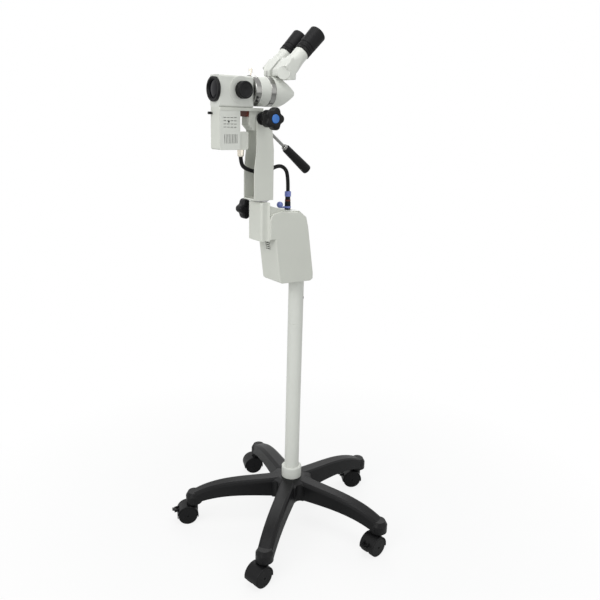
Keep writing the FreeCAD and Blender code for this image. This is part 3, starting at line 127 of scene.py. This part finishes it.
def addFloor():
    mesh = bpy.data.meshes.new("floor")
    a = floor["half"]
    mesh.from_pydata([(-a, -a, 0), (a, -a, 0), (a, a, 0), (-a, a, 0)], [], [(0, 1, 2, 3)])
    piece = bpy.data.objects.new("floor", mesh)
    bpy.context.scene.collection.objects.link(piece)
    material = bpy.data.materials.new("paperFloor")
    material.use_nodes = True
    tree = material.node_tree
    shader = tree.nodes["Principled BSDF"]
    shader.inputs["Base Color"].default_value = (floor["white"],) * 3 + (1,)
    shader.inputs["Roughness"].default_value = 0.9
    shader.inputs["Specular IOR Level"].default_value = 0.2
    glow = tree.nodes.new("ShaderNodeEmission")
    glow.inputs["Strength"].default_value = 1.0
    mix = tree.nodes.new("ShaderNodeMixShader")
    path = tree.nodes.new("ShaderNodeLightPath")
    place = tree.nodes.new("ShaderNodeTexCoord")
    away = tree.nodes.new("ShaderNodeVectorMath")
    away.operation = "LENGTH"
    fade = tree.nodes.new("ShaderNodeMapRange")
    fade.inputs["From Min"].default_value = floor["near"]
    fade.inputs["From Max"].default_value = floor["far"]
    fade.inputs["To Min"].default_value = floor["glow"]
    amount = tree.nodes.new("ShaderNodeMath")
    amount.operation = "MULTIPLY"
    tree.links.new(place.outputs["Object"], away.inputs[0])
    tree.links.new(away.outputs["Value"], fade.inputs["Value"])
    tree.links.new(fade.outputs["Result"], amount.inputs[0])
    tree.links.new(path.outputs["Is Camera Ray"], amount.inputs[1])
    tree.links.new(amount.outputs[0], mix.inputs[0])
    tree.links.new(shader.outputs[0], mix.inputs[1])
    tree.links.new(glow.outputs[0], mix.inputs[2])
    tree.links.new(mix.outputs[0], tree.nodes["Material Output"].inputs["Surface"])
    mesh.materials.append(material)


addCamera()
addLamps()
addWorld()
addFloor()
bpy.context.scene.view_settings.view_transform = "Standard"
print("camera and studio ready")

# finishes

finishes = {
    "warmGreyPaint": {"colour": (0.62, 0.63, 0.58), "rough": 0.42, "peel": 900, "depth": 0.05, "shine": 0.4},
    "whitePaint": {"colour": (0.66, 0.67, 0.63), "rough": 0.36, "peel": 900, "depth": 0.04, "shine": 0.4},
    "blackNylon": {"colour": (0.006, 0.006, 0.0065), "rough": 0.38, "peel": 1400, "depth": 0.08, "shine": 0.18},
    "blackRubber": {"colour": (0.007, 0.007, 0.0075), "rough": 0.5, "peel": 1100, "depth": 0.08, "shine": 0.15},
    "redBrown": {"colour": (0.12, 0.025, 0.015), "rough": 0.5, "peel": 800, "depth": 0.1, "shine": 0.3},
    "bluePlastic": {"colour": (0.02, 0.16, 0.55), "rough": 0.22, "peel": 500, "depth": 0.02, "shine": 0.5},
    "blueRing": {"colour": (0.16, 0.2, 0.52), "rough": 0.25, "peel": 500, "depth": 0.02, "shine": 0.5},
}
metals = {
    "darkChrome": {"colour": (0.27, 0.27, 0.26), "rough": 0.16, "scratch": 300},
    "nickel": {"colour": (0.72, 0.67, 0.58), "rough": 0.2, "scratch": 400},
    "steel": {"colour": (0.5, 0.5, 0.5), "rough": 0.3, "scratch": 350},
    "darkSteel": {"colour": (0.07, 0.07, 0.075), "rough": 0.3, "scratch": 350},
}
spread = {"tone": (0.94, 1.05), "rough": (-0.05, 0.07), "scratch": (0.6, 1.5)}  # how far a finish wanders
made = {}


def newMaterial(name):
    material = bpy.data.materials.new(name)
    material.use_nodes = True
    made[name] = material
    return material, material.node_tree, material.node_tree.nodes["Principled BSDF"]


for name, finish in finishes.items():
    material, tree, shader = newMaterial(name)
    shader.inputs["Specular IOR Level"].default_value = finish["shine"]
    place = tree.nodes.new("ShaderNodeTexCoord")
    cloud = tree.nodes.new("ShaderNodeTexNoise")  # slow change of tone over the piece
    cloud.inputs["Scale"].default_value = 9
    cloud.inputs["Detail"].default_value = 4
    tree.links.new(place.outputs["Object"], cloud.inputs["Vector"])
    tone = tree.nodes.new("ShaderNodeMapRange")
    tone.inputs["To Min"].default_value = spread["tone"][0]
    tone.inputs["To Max"].default_value = spread["tone"][1]
    tree.links.new(cloud.outputs["Fac"], tone.inputs["Value"])
    tint = tree.nodes.new("ShaderNodeMix")
    tint.data_type = "RGBA"
    tint.blend_type = "MULTIPLY"
    tint.inputs["Factor"].default_value = 1
    tint.inputs["A"].default_value = finish["colour"] + (1,)
    tree.links.new(tone.outputs["Result"], tint.inputs["B"])
    tree.links.new(tint.outputs["Result"], shader.inputs["Base Color"])
    rough = tree.nodes.new("ShaderNodeMapRange")
    rough.inputs["To Min"].default_value = finish["rough"] + spread["rough"][0]
    rough.inputs["To Max"].default_value = finish["rough"] + spread["rough"][1]
    tree.links.new(cloud.outputs["Fac"], rough.inputs["Value"])
    tree.links.new(rough.outputs["Result"], shader.inputs["Roughness"])
    grain = tree.nodes.new("ShaderNodeTexNoise")
    grain.inputs["Scale"].default_value = finish["peel"]
    grain.inputs["Detail"].default_value = 3
    tree.links.new(place.outputs["Object"], grain.inputs["Vector"])
    bump = tree.nodes.new("ShaderNodeBump")
    bump.inputs["Strength"].default_value = finish["depth"]
    bump.inputs["Distance"].default_value = 0.0006
    tree.links.new(grain.outputs["Fac"], bump.inputs["Height"])
    tree.links.new(bump.outputs["Normal"], shader.inputs["Normal"])

for name, finish in metals.items():
    material, tree, shader = newMaterial(name)
    shader.inputs["Metallic"].default_value = 1
    shader.inputs["Base Color"].default_value = finish["colour"] + (1,)
    place = tree.nodes.new("ShaderNodeTexCoord")
    scratch = tree.nodes.new("ShaderNodeTexNoise")
    scratch.inputs["Scale"].default_value = finish["scratch"]
    scratch.inputs["Detail"].default_value = 5
    tree.links.new(place.outputs["Object"], scratch.inputs["Vector"])
    rough = tree.nodes.new("ShaderNodeMapRange")
    rough.inputs["To Min"].default_value = finish["rough"] * spread["scratch"][0]
    rough.inputs["To Max"].default_value = finish["rough"] * spread["scratch"][1]
    tree.links.new(scratch.outputs["Fac"], rough.inputs["Value"])
    tree.links.new(rough.outputs["Result"], shader.inputs["Roughness"])

glass = {"colour": (0.004, 0.004, 0.006), "rough": 0.03, "coat": 0.05, "coatRough": 0.02, "shine": 0.15}
material, tree, shader = newMaterial("coatedGlass")
shader.inputs["Base Color"].default_value = glass["colour"] + (1,)
shader.inputs["Roughness"].default_value = glass["rough"]
shader.inputs["Coat Weight"].default_value = glass["coat"]
shader.inputs["Coat Roughness"].default_value = glass["coatRough"]
shader.inputs["Specular IOR Level"].default_value = glass["shine"]

slotFinish = {
    "warm_grey_paint": "warmGreyPaint", "white_paint": "whitePaint", "black_nylon": "blackNylon",
    "black_rubber": "blackRubber", "dark_chrome": "darkChrome", "nickel": "nickel", "blue_plastic": "bluePlastic",
    "blue_ring": "blueRing", "glass": "coatedGlass", "red_brown": "redBrown", "dark_steel": "darkSteel",
    "steel": "steel", "wheel_grey": "blackRubber",
}
slotOf = {entry["node"]: entry["material_slot"] for entry in frame["record"]["subparts"]}
for name, piece in nodes.items():
    material = made[slotFinish[slotOf[name]]]
    if not piece.material_slots:
        piece.data.materials.append(material)
    for slot in piece.material_slots:
        slot.link = "OBJECT"
        slot.material = material
print("finishes on the carried-over nodes")

# helpers for new pieces


def newPiece(name, mesh, finish, body, smooth=32):
    mesh.materials.append(made[finish])
    mesh.shade_smooth()
    mesh.set_sharp_from_angle(angle=math.radians(smooth))
    piece = bpy.data.objects.new(name, mesh)
    bpy.context.scene.collection.objects.link(piece)
    if body:
        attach(piece, body)
    return piece


def meshFrom(name, work):
    mesh = bpy.data.meshes.new(name)
    work.to_mesh(mesh)
    work.free()
    return mesh


tiny = 1e-6  # below this two places count as one
lobes = 5  # of a star knob
lobePower = 1.35  # above one the lobes are broad and the valleys narrow


def spun(name, profile, origin, axis, steps=96, ribs=None):
    # profile rows are (radius, distance along the axis) or (radius, distance, depth of the valleys)
    turn = Vector(axis).normalized().to_track_quat("Z", "Y").to_matrix()
    work = bmesh.new()
    rows = []
    for entry in profile:
        radius, along = entry[0], entry[1]
        valley = entry[2] if len(entry) > 2 else 0
        if radius < tiny:
            rows.append([work.verts.new(Vector(origin) + turn @ Vector((0, 0, along)))])
            continue
        row = []
        for i in range(steps):
            angle = 2 * math.pi * i / steps
            r = radius - valley * (0.5 - 0.5 * math.cos(lobes * angle)) ** lobePower
            if ribs and ribs["from"] - tiny <= along <= ribs["to"] + tiny:
                r -= ribs["depth"] * (0.5 - 0.5 * math.cos(ribs["count"] * angle))
            place = Vector((r * math.cos(angle), r * math.sin(angle), along))
            row.append(work.verts.new(Vector(origin) + turn @ place))
        rows.append(row)
    for low, high in zip(rows, rows[1:]):
        for i in range(steps):
            j = (i + 1) % steps
            if len(low) == 1:
                work.faces.new((low[0], high[j], high[i]))
            elif len(high) == 1:
                work.faces.new((low[i], low[j], high[0]))
            else:
                work.faces.new((low[i], low[j], high[j], high[i]))
    bmesh.ops.recalc_face_normals(work, faces=work.faces)
    return meshFrom(name, work)


def moulded(name, outline, low, high, edge=0):
    # side outline of (y, z) points drawn out along x, every edge chamfered
    work = bmesh.new()
    near = [work.verts.new((low, y, z)) for y, z in outline]
    far = [work.verts.new((high, y, z)) for y, z in outline]
    work.faces.new(near)
    work.faces.new(far[::-1])
    for i in range(len(outline)):
        j = (i + 1) % len(outline)
        work.faces.new((near[j], near[i], far[i], far[j]))
    bmesh.ops.recalc_face_normals(work, faces=work.faces)
    if edge:
        bmesh.ops.bevel(work, geom=work.edges[:], offset=edge, segments=1, profile=0.5, affect="EDGES",
                        clamp_overlap=True)
    return meshFrom(name, work)


def sliced(mesh, cuts):
    # each cut is (point, outward direction): what lies outward of it goes, and the hole is closed
    work = bmesh.new()
    work.from_mesh(mesh)
    for point, outward in cuts:
        parts = work.verts[:] + work.edges[:] + work.faces[:]
        found = bmesh.ops.bisect_plane(work, geom=parts, plane_co=point, plane_no=outward, clear_outer=True)
        rim = [entry for entry in found["geom_cut"] if isinstance(entry, bmesh.types.BMEdge)]
        bmesh.ops.edgeloop_fill(work, edges=rim)
    bmesh.ops.recalc_face_normals(work, faces=work.faces)
    work.to_mesh(mesh)
    work.free()
    return mesh


def joined(name, first, others):
    # closed meshes fused once into a plain mesh
    base = bpy.data.objects.new(name, first)
    bpy.context.scene.collection.objects.link(base)
    helpers = []
    for mesh in others:
        helper = bpy.data.objects.new(name + "Tool", mesh)
        bpy.context.scene.collection.objects.link(helper)
        helpers.append(helper)
        step = base.modifiers.new("step", "BOOLEAN")
        step.operation = "UNION"
        step.solver = "EXACT"
        step.object = helper
    bpy.context.view_layer.update()
    mesh = bpy.data.meshes.new_from_object(base.evaluated_get(bpy.context.evaluated_depsgraph_get()))
    for helper in [base] + helpers:
        bpy.data.objects.remove(helper)
    mesh.name = name
    return mesh


def rounded(piece, width, segments, angle):
    # edges sharper than the angle are rounded
    edge = piece.modifiers.new("edge", "BEVEL")
    edge.width = width
    edge.segments = segments
    edge.limit_method = "ANGLE"
    edge.angle_limit = math.radians(angle)
    edge.harden_normals = True


def arcRows(radius, along, soft, start, stop, valley=0, count=6):
    # rows of a rounded rim: from start to stop degrees round a circle of radius soft
    rows = []
    for i in range(count + 1):
        turn = math.radians(start + (stop - start) * i / count)
        rows.append((radius + soft * math.cos(turn), along + soft * math.sin(turn), valley))
    return rows


# star knobs with five lobes

starHead = {"head": 0.026, "lobe": 0.027, "valley": 0.0058, "soft": 0.0062, "capSeat": 0.0108, "capEdge": 0.0012}
tiltKnob = {
    "origin": (0.0253, -0.136, 1.1716), "axis": (1, 0, 0), "hub": 0.0155, "hubDepth": 0.007,
    "neck": 0.012, "neckDepth": 0.033, "capDepth": 0.003, **starHead,
}
socketKnob = {
    "origin": (-0.0325, -0.1265, 0.944), "axis": (-1, 0, 0), "hub": 0.0085, "hubDepth": 0.001,
    "neck": 0.0085, "neckDepth": 0.012, "capDepth": 0.0012, **starHead,
}


def starProfile(knob):
    hub, neck, hubEnd, seat = knob["hub"], knob["neck"], knob["hubDepth"], knob["capSeat"]
    start = knob["neckDepth"]
    end = start + knob["head"]
    rim = knob["lobe"] - knob["soft"]
    rows = [(0, 0), (hub - 0.0008, 0), (hub, 0.0008), (hub, hubEnd - 0.0004)]
    rows += [(neck, hubEnd + 0.0006), (neck, start - 0.0005), (neck + 0.001, start)]
    rows += arcRows(rim, start + knob["soft"], knob["soft"], -90, 0, knob["valley"])
    rows += arcRows(rim, end - knob["soft"], knob["soft"], 0, 90, knob["valley"])
    rows += [(seat + knob["capEdge"], end, 0), (seat, end - 0.0008), (seat, end - knob["capDepth"])]
    return rows + [(0, end - knob["capDepth"])]


for name, knob, node, body in (("starKnobTilt", tiltKnob, "tilt_knob", "tilt_clamp"),
                               ("starKnobSocket", socketKnob, "socket_knob", "socket_clamp")):
    mesh = spun(name, starProfile(knob), knob["origin"], knob["axis"], steps=150)
    piece = newPiece(name, mesh, "blackNylon", body)
    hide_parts(node)

knobCap = {"radius": 0.0104, "seat": 0.056, "height": 0.0036, "soft": 0.0012, "crown": 0.0004, "crownHalfWay": 0.0003}
radius, height, soft = knobCap["radius"], knobCap["height"], knobCap["soft"]
rows = [(0, 0), (radius, 0)] + arcRows(radius - soft, height - soft, soft, 0, 90)
rows += [(radius * 0.5, height + knobCap["crownHalfWay"]), (0, height + knobCap["crown"])]
mesh = spun("blueCap", rows, Vector(tiltKnob["origin"]) + Vector((knobCap["seat"], 0, 0)), (1, 0, 0))
piece = newPiece("blueCap", mesh, "bluePlastic", "tilt_clamp")
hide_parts("knob_cap")
print("star knobs ready")

# eyepieces: rubber eyecup, ringed barrel and the glass inside

eyepiece = {
    "seam": (0.0324, -0.0832, 1.2702), "axis": (0, 0.70711, 0.70711), "start": 0.0891,
    "sleeve": 0.0148, "sleeveIn": 0.004, "low": 0.0205, "high": 0.022, "right": 0.060, "left": 0.055,
    "well": 0.0062, "wellFoot": 0.0028, "wall": 0.0030, "lip": 0.006, "bulge": 0.6,
    "glass": 0.0125, "glassIn": 0.0014,
    "neck": [(-0.0008, 0), (0, 0.0008), (0, 0.0042), (-0.0005, 0.0046), (-0.0005, 0.0052), (0, 0.0056), (0, 0.0082),
             (-0.0013, 0.0092), (-0.0013, 0.0122), (0.0002, 0.0136), (0.0004, 0.020)],  # (out from low, along)
    "outerSoft": 0.0022, "innerSoft": 0.0006, "seat": 0.0012,
}
diopter = {
    "start": 0.0813, "bore": 0.0151, "radius": 0.0203, "soft": 0.0006, "depth": 0.0075,
    "ribs": 60, "ribDepth": 0.0006,
}


def eyepieceProfile(length):
    start, low, high, sleeve = eyepiece["start"], eyepiece["low"], eyepiece["high"], eyepiece["sleeve"]
    outer, inner, bulge = eyepiece["outerSoft"], eyepiece["innerSoft"], eyepiece["bulge"]
    bore = high - eyepiece["wall"]
    end = start + length
    floor = end - eyepiece["well"]
    rows = [(0, start - eyepiece["sleeveIn"]), (sleeve, start - eyepiece["sleeveIn"]), (sleeve, start)]
    rows += [(low + out, start + reach) for out, reach in eyepiece["neck"]]
    rows += [(low + (high - low) * bulge, start + length * bulge), (high, end - eyepiece["lip"])]
    rows += arcRows(high - outer, end - outer, outer, 0, 90)
    rows += arcRows(bore, end - inner, inner, 90, 180, count=3)
    rows += [(bore - eyepiece["seat"], end - eyepiece["lip"] / 2), (bore - eyepiece["wellFoot"], floor)]
    rows += [(eyepiece["glass"] + inner, floor)]
    return rows + [(eyepiece["glass"], floor - eyepiece["seat"]), (0, floor - eyepiece["seat"])]


def eyeLensProfile(end):
    glass, back = eyepiece["glass"], end - eyepiece["glassIn"]
    rows = [(0, back), (glass - 0.0002, back), (glass - 0.0002, end - 0.001)]
    return rows + [(glass * 0.66, end - 0.0001), (glass * 0.33, end + 0.0004), (0, end + 0.0006)]


def diopterProfile():
    start, soft, bore, radius = diopter["start"], diopter["soft"], diopter["bore"], diopter["radius"]
    end = start + diopter["depth"]
    rows = [(bore, start), (radius - soft, start), (radius, start + soft), (radius, start + soft * 2)]
    rows += [(radius, end - soft * 2), (radius, end - soft), (radius - soft, end)]
    return rows + [(bore, end), (bore, start)]


diopterRibs = {
    "from": diopter["start"] + diopter["soft"] * 2, "to": diopter["start"] + diopter["depth"] - diopter["soft"] * 2,
    "depth": diopter["ribDepth"], "count": diopter["ribs"],
}
for hand, side in (("right", 1), ("left", -1)):
    seam = Vector((side * eyepiece["seam"][0], eyepiece["seam"][1], eyepiece["seam"][2]))
    axis = eyepiece["axis"]
    body = "prism_pair_" + hand
    mesh = spun("eyecup." + hand, eyepieceProfile(eyepiece[hand]), seam, axis)
    piece = newPiece("eyecup." + hand, mesh, "blackRubber", body, smooth=40)
    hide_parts("eyepiece_" + hand)
    lensEnd = eyepiece["start"] + eyepiece[hand] - eyepiece["well"]
    mesh = spun("eyeLens." + hand, eyeLensProfile(lensEnd), seam, axis)
    newPiece("eyeLens." + hand, mesh, "coatedGlass", body, smooth=60)
    mesh = spun("diopterRing." + hand, diopterProfile(), seam, axis, steps=240, ribs=diopterRibs)
    piece = newPiece("diopterRing." + hand, mesh, "blackNylon", "diopter_ring_" + hand)
    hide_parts("diopter_" + hand)
print("eyepieces ready")

# binocular: sloping base and two prism housings that turn from a box into the eyepiece tube

wedge = {
    "radius": 0.0355, "soft": 0.0008, "front": -0.100, "depth": 0.080, "height": 1.2345,
    "seam": 1.187, "nose": 1.2745, "end": -0.048, "edge": 0.0035,
}
prism = {
    "inner": 0.0056, "outer": 0.050, "front": -0.094, "frontTop": 1.2856, "back": -0.0455, "backLow": 1.264,
    "heel": -0.074, "frontChamfer": 0.022, "backChamfer": 0.012, "edge": 0.0018, "gap": 0.0004,
    "frontLow": 0.084, "crest": 0.0975,  # heights over the seam
    "toe": -0.0835, "slope": 0.030, "crestIn": 0.003, "crestDrop": 0.008,
    "boss": 0.016, "bossDepth": 0.0032, "bossSoft": 0.0004, "bossHeight": 1.2783, "bossIn": 0.0014,
}
prismTube = [  # distance along the eyepiece, middle across and up, half width, half depth, corner radius
    (0.014, 0.0278, 0.0008, 0.0222, 0.0177, 0.004), (0.030, 0.0278, 0.0008, 0.0222, 0.0177, 0.005),
    (0.040, 0.0288, 0.0006, 0.0214, 0.0179, 0.0085), (0.050, 0.0308, 0.0002, 0.0198, 0.0183, 0.0135),
    (0.058, 0.0322, 0, 0.0188, 0.0185, 0.0178), (0.061, 0.0324, 0, 0.0185, 0.0185, 0.0185),
    (0.0798, 0.0324, 0, 0.0185, 0.0185, 0.0185), (0.081, 0.0324, 0, 0.0175, 0.0175, 0.0175),
]


def wedgeMesh():
    w = wedge
    rows = [(0, 0), (w["radius"] - w["soft"], 0), (w["radius"], w["soft"]), (w["radius"], w["depth"])]
    rows += [(0, w["depth"])]
    mesh = spun("binocularBase", rows, (0, w["front"], w["height"]), (0, 1, 0), steps=120)
    seam = ((0, 0, w["seam"]), (0, 1, 1))
    nose = ((0, 0, w["nose"]), (0, 1, -1))
    return sliced(mesh, [seam, nose, ((0, w["end"], 0), (0, 1, 0))])


piece = newPiece("binocularBase", wedgeMesh(), "whitePaint", "binocular", smooth=25)
rounded(piece, wedge["edge"], segments=4, angle=33)
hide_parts("binocular_base")


def roundSection(centre, half, corner):
    # rounded rectangle as (across, up) points, a circle when corner equals both halves
    points = []
    count = 12  # in each quarter
    for quarter, (sx, sy) in enumerate(((1, 1), (-1, 1), (-1, -1), (1, -1))):
        for i in range(count):
            turn = math.radians(quarter * 90 + 90 * i / (count - 1))
            points.append((centre[0] + sx * (half[0] - corner) + corner * math.cos(turn),
                           centre[1] + sy * (half[1] - corner) + corner * math.sin(turn)))
    return points


def prismBox():
    q = prism
    lift = wedge["seam"] + q["gap"]
    crest = lift + q["crest"]
    outline = [(q["front"], wedge["seam"] + q["frontLow"]), (q["front"], q["frontTop"]),
               (q["front"] + q["slope"], q["frontTop"] + q["slope"]),
               (q["back"] - q["crestIn"], crest - q["crestIn"]),
               (q["back"], crest - q["crestDrop"]), (q["back"], q["backLow"]),
               (q["heel"], lift - q["heel"]), (q["toe"], lift - q["toe"])]
    box = moulded("prismBox", outline, q["inner"], q["outer"])
    sliced(box, [((q["outer"] - q["frontChamfer"], q["front"], 0), (1, -1, 0)),
                 ((q["outer"] - q["backChamfer"], q["back"], 0), (1, 1, 0))])
    work = bmesh.new()
    work.from_mesh(box)
    bmesh.ops.bevel(work, geom=work.edges[:], offset=q["edge"], segments=4, profile=0.5, affect="EDGES",
                    clamp_overlap=True)
    work.to_mesh(box)
    work.free()
    return box


def tubeMesh():
    # from the box's section to the round tube
    work = bmesh.new()
    foot = Vector((0, eyepiece["seam"][1], eyepiece["seam"][2]))
    along = Vector(eyepiece["axis"])
    up = Vector((0, -along.y, along.z))
    rows = []
    for reach, across, above, halfWidth, halfDepth, corner in prismTube:
        rows.append([work.verts.new(Vector((a, 0, 0)) + foot + up * b + along * reach)
                     for a, b in roundSection((across, above), (halfWidth, halfDepth), corner)])
    for low, high in zip(rows, rows[1:]):
        for i in range(len(low)):
            j = (i + 1) % len(low)
            work.faces.new((low[i], low[j], high[j], high[i]))
    work.faces.new(rows[0][::-1])
    work.faces.new(rows[-1])
    bmesh.ops.remove_doubles(work, verts=work.verts, dist=tiny)
    bmesh.ops.recalc_face_normals(work, faces=work.faces)
    return meshFrom("prismTube", work)


def prismMesh(hand, side):
    q = prism
    half = q["frontChamfer"] / 2
    seat = (q["outer"] - half - q["bossIn"], q["front"] + half + q["bossIn"], q["bossHeight"])
    radius, deep, soft = q["boss"], q["bossDepth"], q["bossSoft"]
    rows = [(0, 0), (radius, 0), (radius, deep - soft), (radius - soft, deep), (0, deep)]
    boss = spun("prismBoss", rows, seat, (1, -1, 0), steps=72)
    mesh = joined("prism." + hand, prismBox(), [tubeMesh(), boss])
    if side < 0:
        mesh.transform(Matrix.Scale(-1, 4, (1, 0, 0)))
        mesh.flip_normals()
    return mesh


for hand, side in (("right", 1), ("left", -1)):
    node = "prism_" + hand
    piece = newPiece("prism." + hand, prismMesh(hand, side), "whitePaint", "prism_pair_" + hand, 30)
    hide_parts(node)
print("binocular ready")

# magnification knobs, knurled with a shallow dish

magnifierKnob = {
    "axle": (0, -0.193, 1.2345), "seat": 0.0236, "neck": 0.012, "shaft": 0.006, "shaftIn": 0.005,
    "start": 0.0272, "depth": 0.0178, "radius": 0.0198, "soft": 0.0022, "edge": 0.0015,
    "ribs": 72, "ribDepth": 0.0007, "ribStart": 0.003, "ribStop": 0.0028,
    "dish": [(0.016, 0), (0.015, 0.0012), (0.013, 0.0015), (0.004, 0.0012), (0.003, 0.0016), (0, 0.0016)],
}


def magnifierProfile(knob):
    seat, start, radius, soft, edge = [knob[key] for key in ("seat", "start", "radius", "soft", "edge")]
    end = start + knob["depth"]
    rows = [(knob["shaft"], seat + knob["shaftIn"]), (knob["shaft"], seat), (knob["neck"], seat)]
    rows += [(knob["neck"], start), (radius - edge, start), (radius, start + edge)]
    rows += [(radius, start + knob["ribStart"]), (radius, end - knob["ribStop"])]
    rows += arcRows(radius - soft, end - soft, soft, 0, 90)
    return rows + [(across, end - deep) for across, deep in knob["dish"]]


for hand, side in (("right", 1), ("left", -1)):
    knob = magnifierKnob
    name = "magnifierKnob." + hand
    ribs = {"from": knob["start"] + knob["ribStart"], "to": knob["start"] + knob["depth"] - knob["ribStop"],
            "depth": knob["ribDepth"], "count": knob["ribs"]}
    mesh = spun(name, magnifierProfile(knob), knob["axle"], (side, 0, 0), steps=288, ribs=ribs)
    piece = newPiece(name, mesh, "blackNylon", "magnifier")
    if hand == "right":  # one node holds both knobs
        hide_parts("magnification_knobs")
print("magnification knobs ready")

# objective: stepped black ring and the coated lens

objective = {
    "origin": (0, -0.2505, 1.2345), "outer": 0.028, "inner": 0.020, "soft": 0.0012, "depth": 0.007, "lens": 0.0208,
    "face": [(0.0245, 0), (0.0243, -0.0005), (0.0236, -0.0005), (0.023, -0.0011), (0.023, -0.0018),
             (0.0224, -0.0022), (0.0224, -0.003), (0.0218, -0.0034)],  # (radius, back from the front)
    "inside": [(0.0218, 0.0028), (0.0212, 0.0024), (0.0212, 0.0016), (0.020, 0.0016), (0.020, 0)],
    "dome": [(1, 0.0012), (1, 0.0018), (0.8, 0.0029), (0.55, 0.0038), (0.28, 0.0043),
             (0, 0.0045)],  # (share of the lens, forward)
}
outer, depth, soft = objective["outer"], objective["depth"], objective["soft"]
rows = [(objective["inner"], 0), (outer, 0)] + arcRows(outer - soft, depth - soft, soft, 0, 90)
rows += [(radius, depth + back) for radius, back in objective["face"]] + objective["inside"]
mesh = spun("objectiveRing", rows, objective["origin"], (0, -1, 0))
piece = newPiece("objectiveRing", mesh, "blackNylon", "head")
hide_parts("objective_ring")
rows = [(0, objective["dome"][0][1])]
rows += [(objective["lens"] * share, reach) for share, reach in objective["dome"]]
mesh = spun("objectiveGlass", rows, objective["origin"], (0, -1, 0))
piece = newPiece("objectiveGlass", mesh, "coatedGlass", "head", 60)
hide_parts("objective_lens")
print("objective ready")

# lead: three lengths that follow the arm, the bush and the stand

lead = {
    "diameter": 0.0098,
    "upper": [(0, -0.180, 1.0868), (0, -0.180, 1.0662), (0, -0.1668, 1.0498), (0, -0.130, 1.0416)],
    "middle": [(0, -0.12956, 1.0415), (0, -0.110, 1.037), (0, -0.0952, 1.045)],
    "lower": [(0, -0.0948, 1.0452), (0, -0.075, 1.056), (0, -0.051, 1.0545), (0, -0.035, 1.0346),
              (0, -0.035, 0.9868)],
}


def leadTube(name, route):
    curve = bpy.data.curves.new(name, "CURVE")
    curve.dimensions = "3D"
    curve.resolution_u = 16
    spline = curve.splines.new("NURBS")
    spline.points.add(len(route) - 1)
    for point, place in zip(spline.points, route):
        point.co = (*place, 1)
    spline.order_u = 3
    spline.use_endpoint_u = True
    line = bpy.data.objects.new(name + "Line", curve)
    bpy.context.scene.collection.objects.link(line)
    path = [tuple(vert.co) for vert in bpy.data.meshes.new_from_object(line).vertices]
    curve.bevel_depth = lead["diameter"] / 2
    curve.bevel_resolution = 7
    curve.use_fill_caps = True
    mesh = bpy.data.meshes.new_from_object(line)
    bpy.data.objects.remove(line)
    mesh.name = name
    return newPiece(name, mesh, "blackRubber", None, smooth=50), path


def pathLength(path):
    return sum((Vector(b) - Vector(a)).length for a, b in zip(path, path[1:]))


upperLead, upperPath = leadTube("lead.upper", lead["upper"])
middleLead, middlePath = leadTube("lead.middle", lead["middle"])
lowerLead, lowerPath = leadTube("lead.lower", lead["lower"])
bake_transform(upperLead)
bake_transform(middleLead)
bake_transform(lowerLead)
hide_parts("lead_upper")
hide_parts("lead_middle")
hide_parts("lead_lower")
print("lead lengths", [round(pathLength(path), 4) for path in (upperPath, middlePath, lowerPath)])

# shell: a cheek above the cover's rounded corner, and the back wall behind the column's head

shellWalls = {
    "shellCheek": {"low": 0.0306, "high": 0.0338, "edge": 0.0003,
                   "outline": [(-0.1148, 0.914), (-0.1148, 0.9588), (-0.052, 0.9418), (-0.030, 0.9418),
                               (-0.030, 0.932), (-0.078, 0.929)]},
    "shellBack": {"low": -0.018, "high": 0.018, "edge": 0,
                  "outline": [(0.0238, 0.785), (0.01485, 0.840), (0.0125, 0.840), (0.0214, 0.785)]},
}
for name, wall in shellWalls.items():
    slot = slotOf["housing_shell"]
    mesh = moulded(name, wall["outline"], wall["low"], wall["high"], wall["edge"])
    newPiece(name, mesh, slotFinish[slot], "stand")
print("shell closed")

# handle grip, thicker towards its flat end

grip = {
    "pivot": (0, -0.136, 1.1716), "axis": (0, 0.7837, -0.6211), "bore": 0.0037, "start": 0.116, "end": 0.206,
    "near": 0.0104, "far": 0.0125, "edge": 0.0008, "soft": 0.0016, "full": 0.012,
    "swell": [(0.025, 0.0006), (0.062, 0.0017)],  # (along, out from near)
}
start, end, near, far, edge, soft = [grip[key] for key in ("start", "end", "near", "far", "edge", "soft")]
rows = [(grip["bore"], start + 0.0002), (near - edge, start), (near, start + edge)]
rows += [(near + out, start + reach) for reach, out in grip["swell"]]
rows += [(far, end - grip["full"])] + arcRows(far - soft, end - soft, soft, 0, 90) + [(0, end)]
mesh = spun("handleGrip", rows, grip["pivot"], grip["axis"])
piece = newPiece("handleGrip", mesh, "blackRubber", "head")
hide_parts("handle_grip")

# lead connector: blue nut and red-brown band on a black body

connector = {
    "origin": (0, -0.035, 0.9348),
    "body": [(0, 0), (0.0094, 0), (0.0094, 0.0035), (0.0088, 0.004), (0.0078, 0.0046), (0.0078, 0.028),
             (0.0068, 0.0295), (0.0068, 0.0428), (0, 0.0428)],
    "band": [(0.0068, 0.0300), (0.0076, 0.0302), (0.0076, 0.0338), (0.0068, 0.034), (0.0068, 0.0300)],
    "nut": [(0.0052, 0.0422), (0.0080, 0.0422), (0.0084, 0.0428), (0.0084, 0.0545), (0.0074, 0.0556),
            (0.0052, 0.0556), (0.0052, 0.0422)],
}
for name, part, finish, slot in (("connectorBody", "body", "blackNylon", "black_nylon"),
                                 ("connectorBand", "band", "redBrown", "red_brown"),
                                 ("connectorNut", "nut", "blueRing", "blue_ring")):
    mesh = spun(name, connector[part], connector["origin"], (0, 0, 1))
    piece = newPiece(name, mesh, finish, "stand")
    if part == "body":
        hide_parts("lead_connector")
print("grip and connector ready")
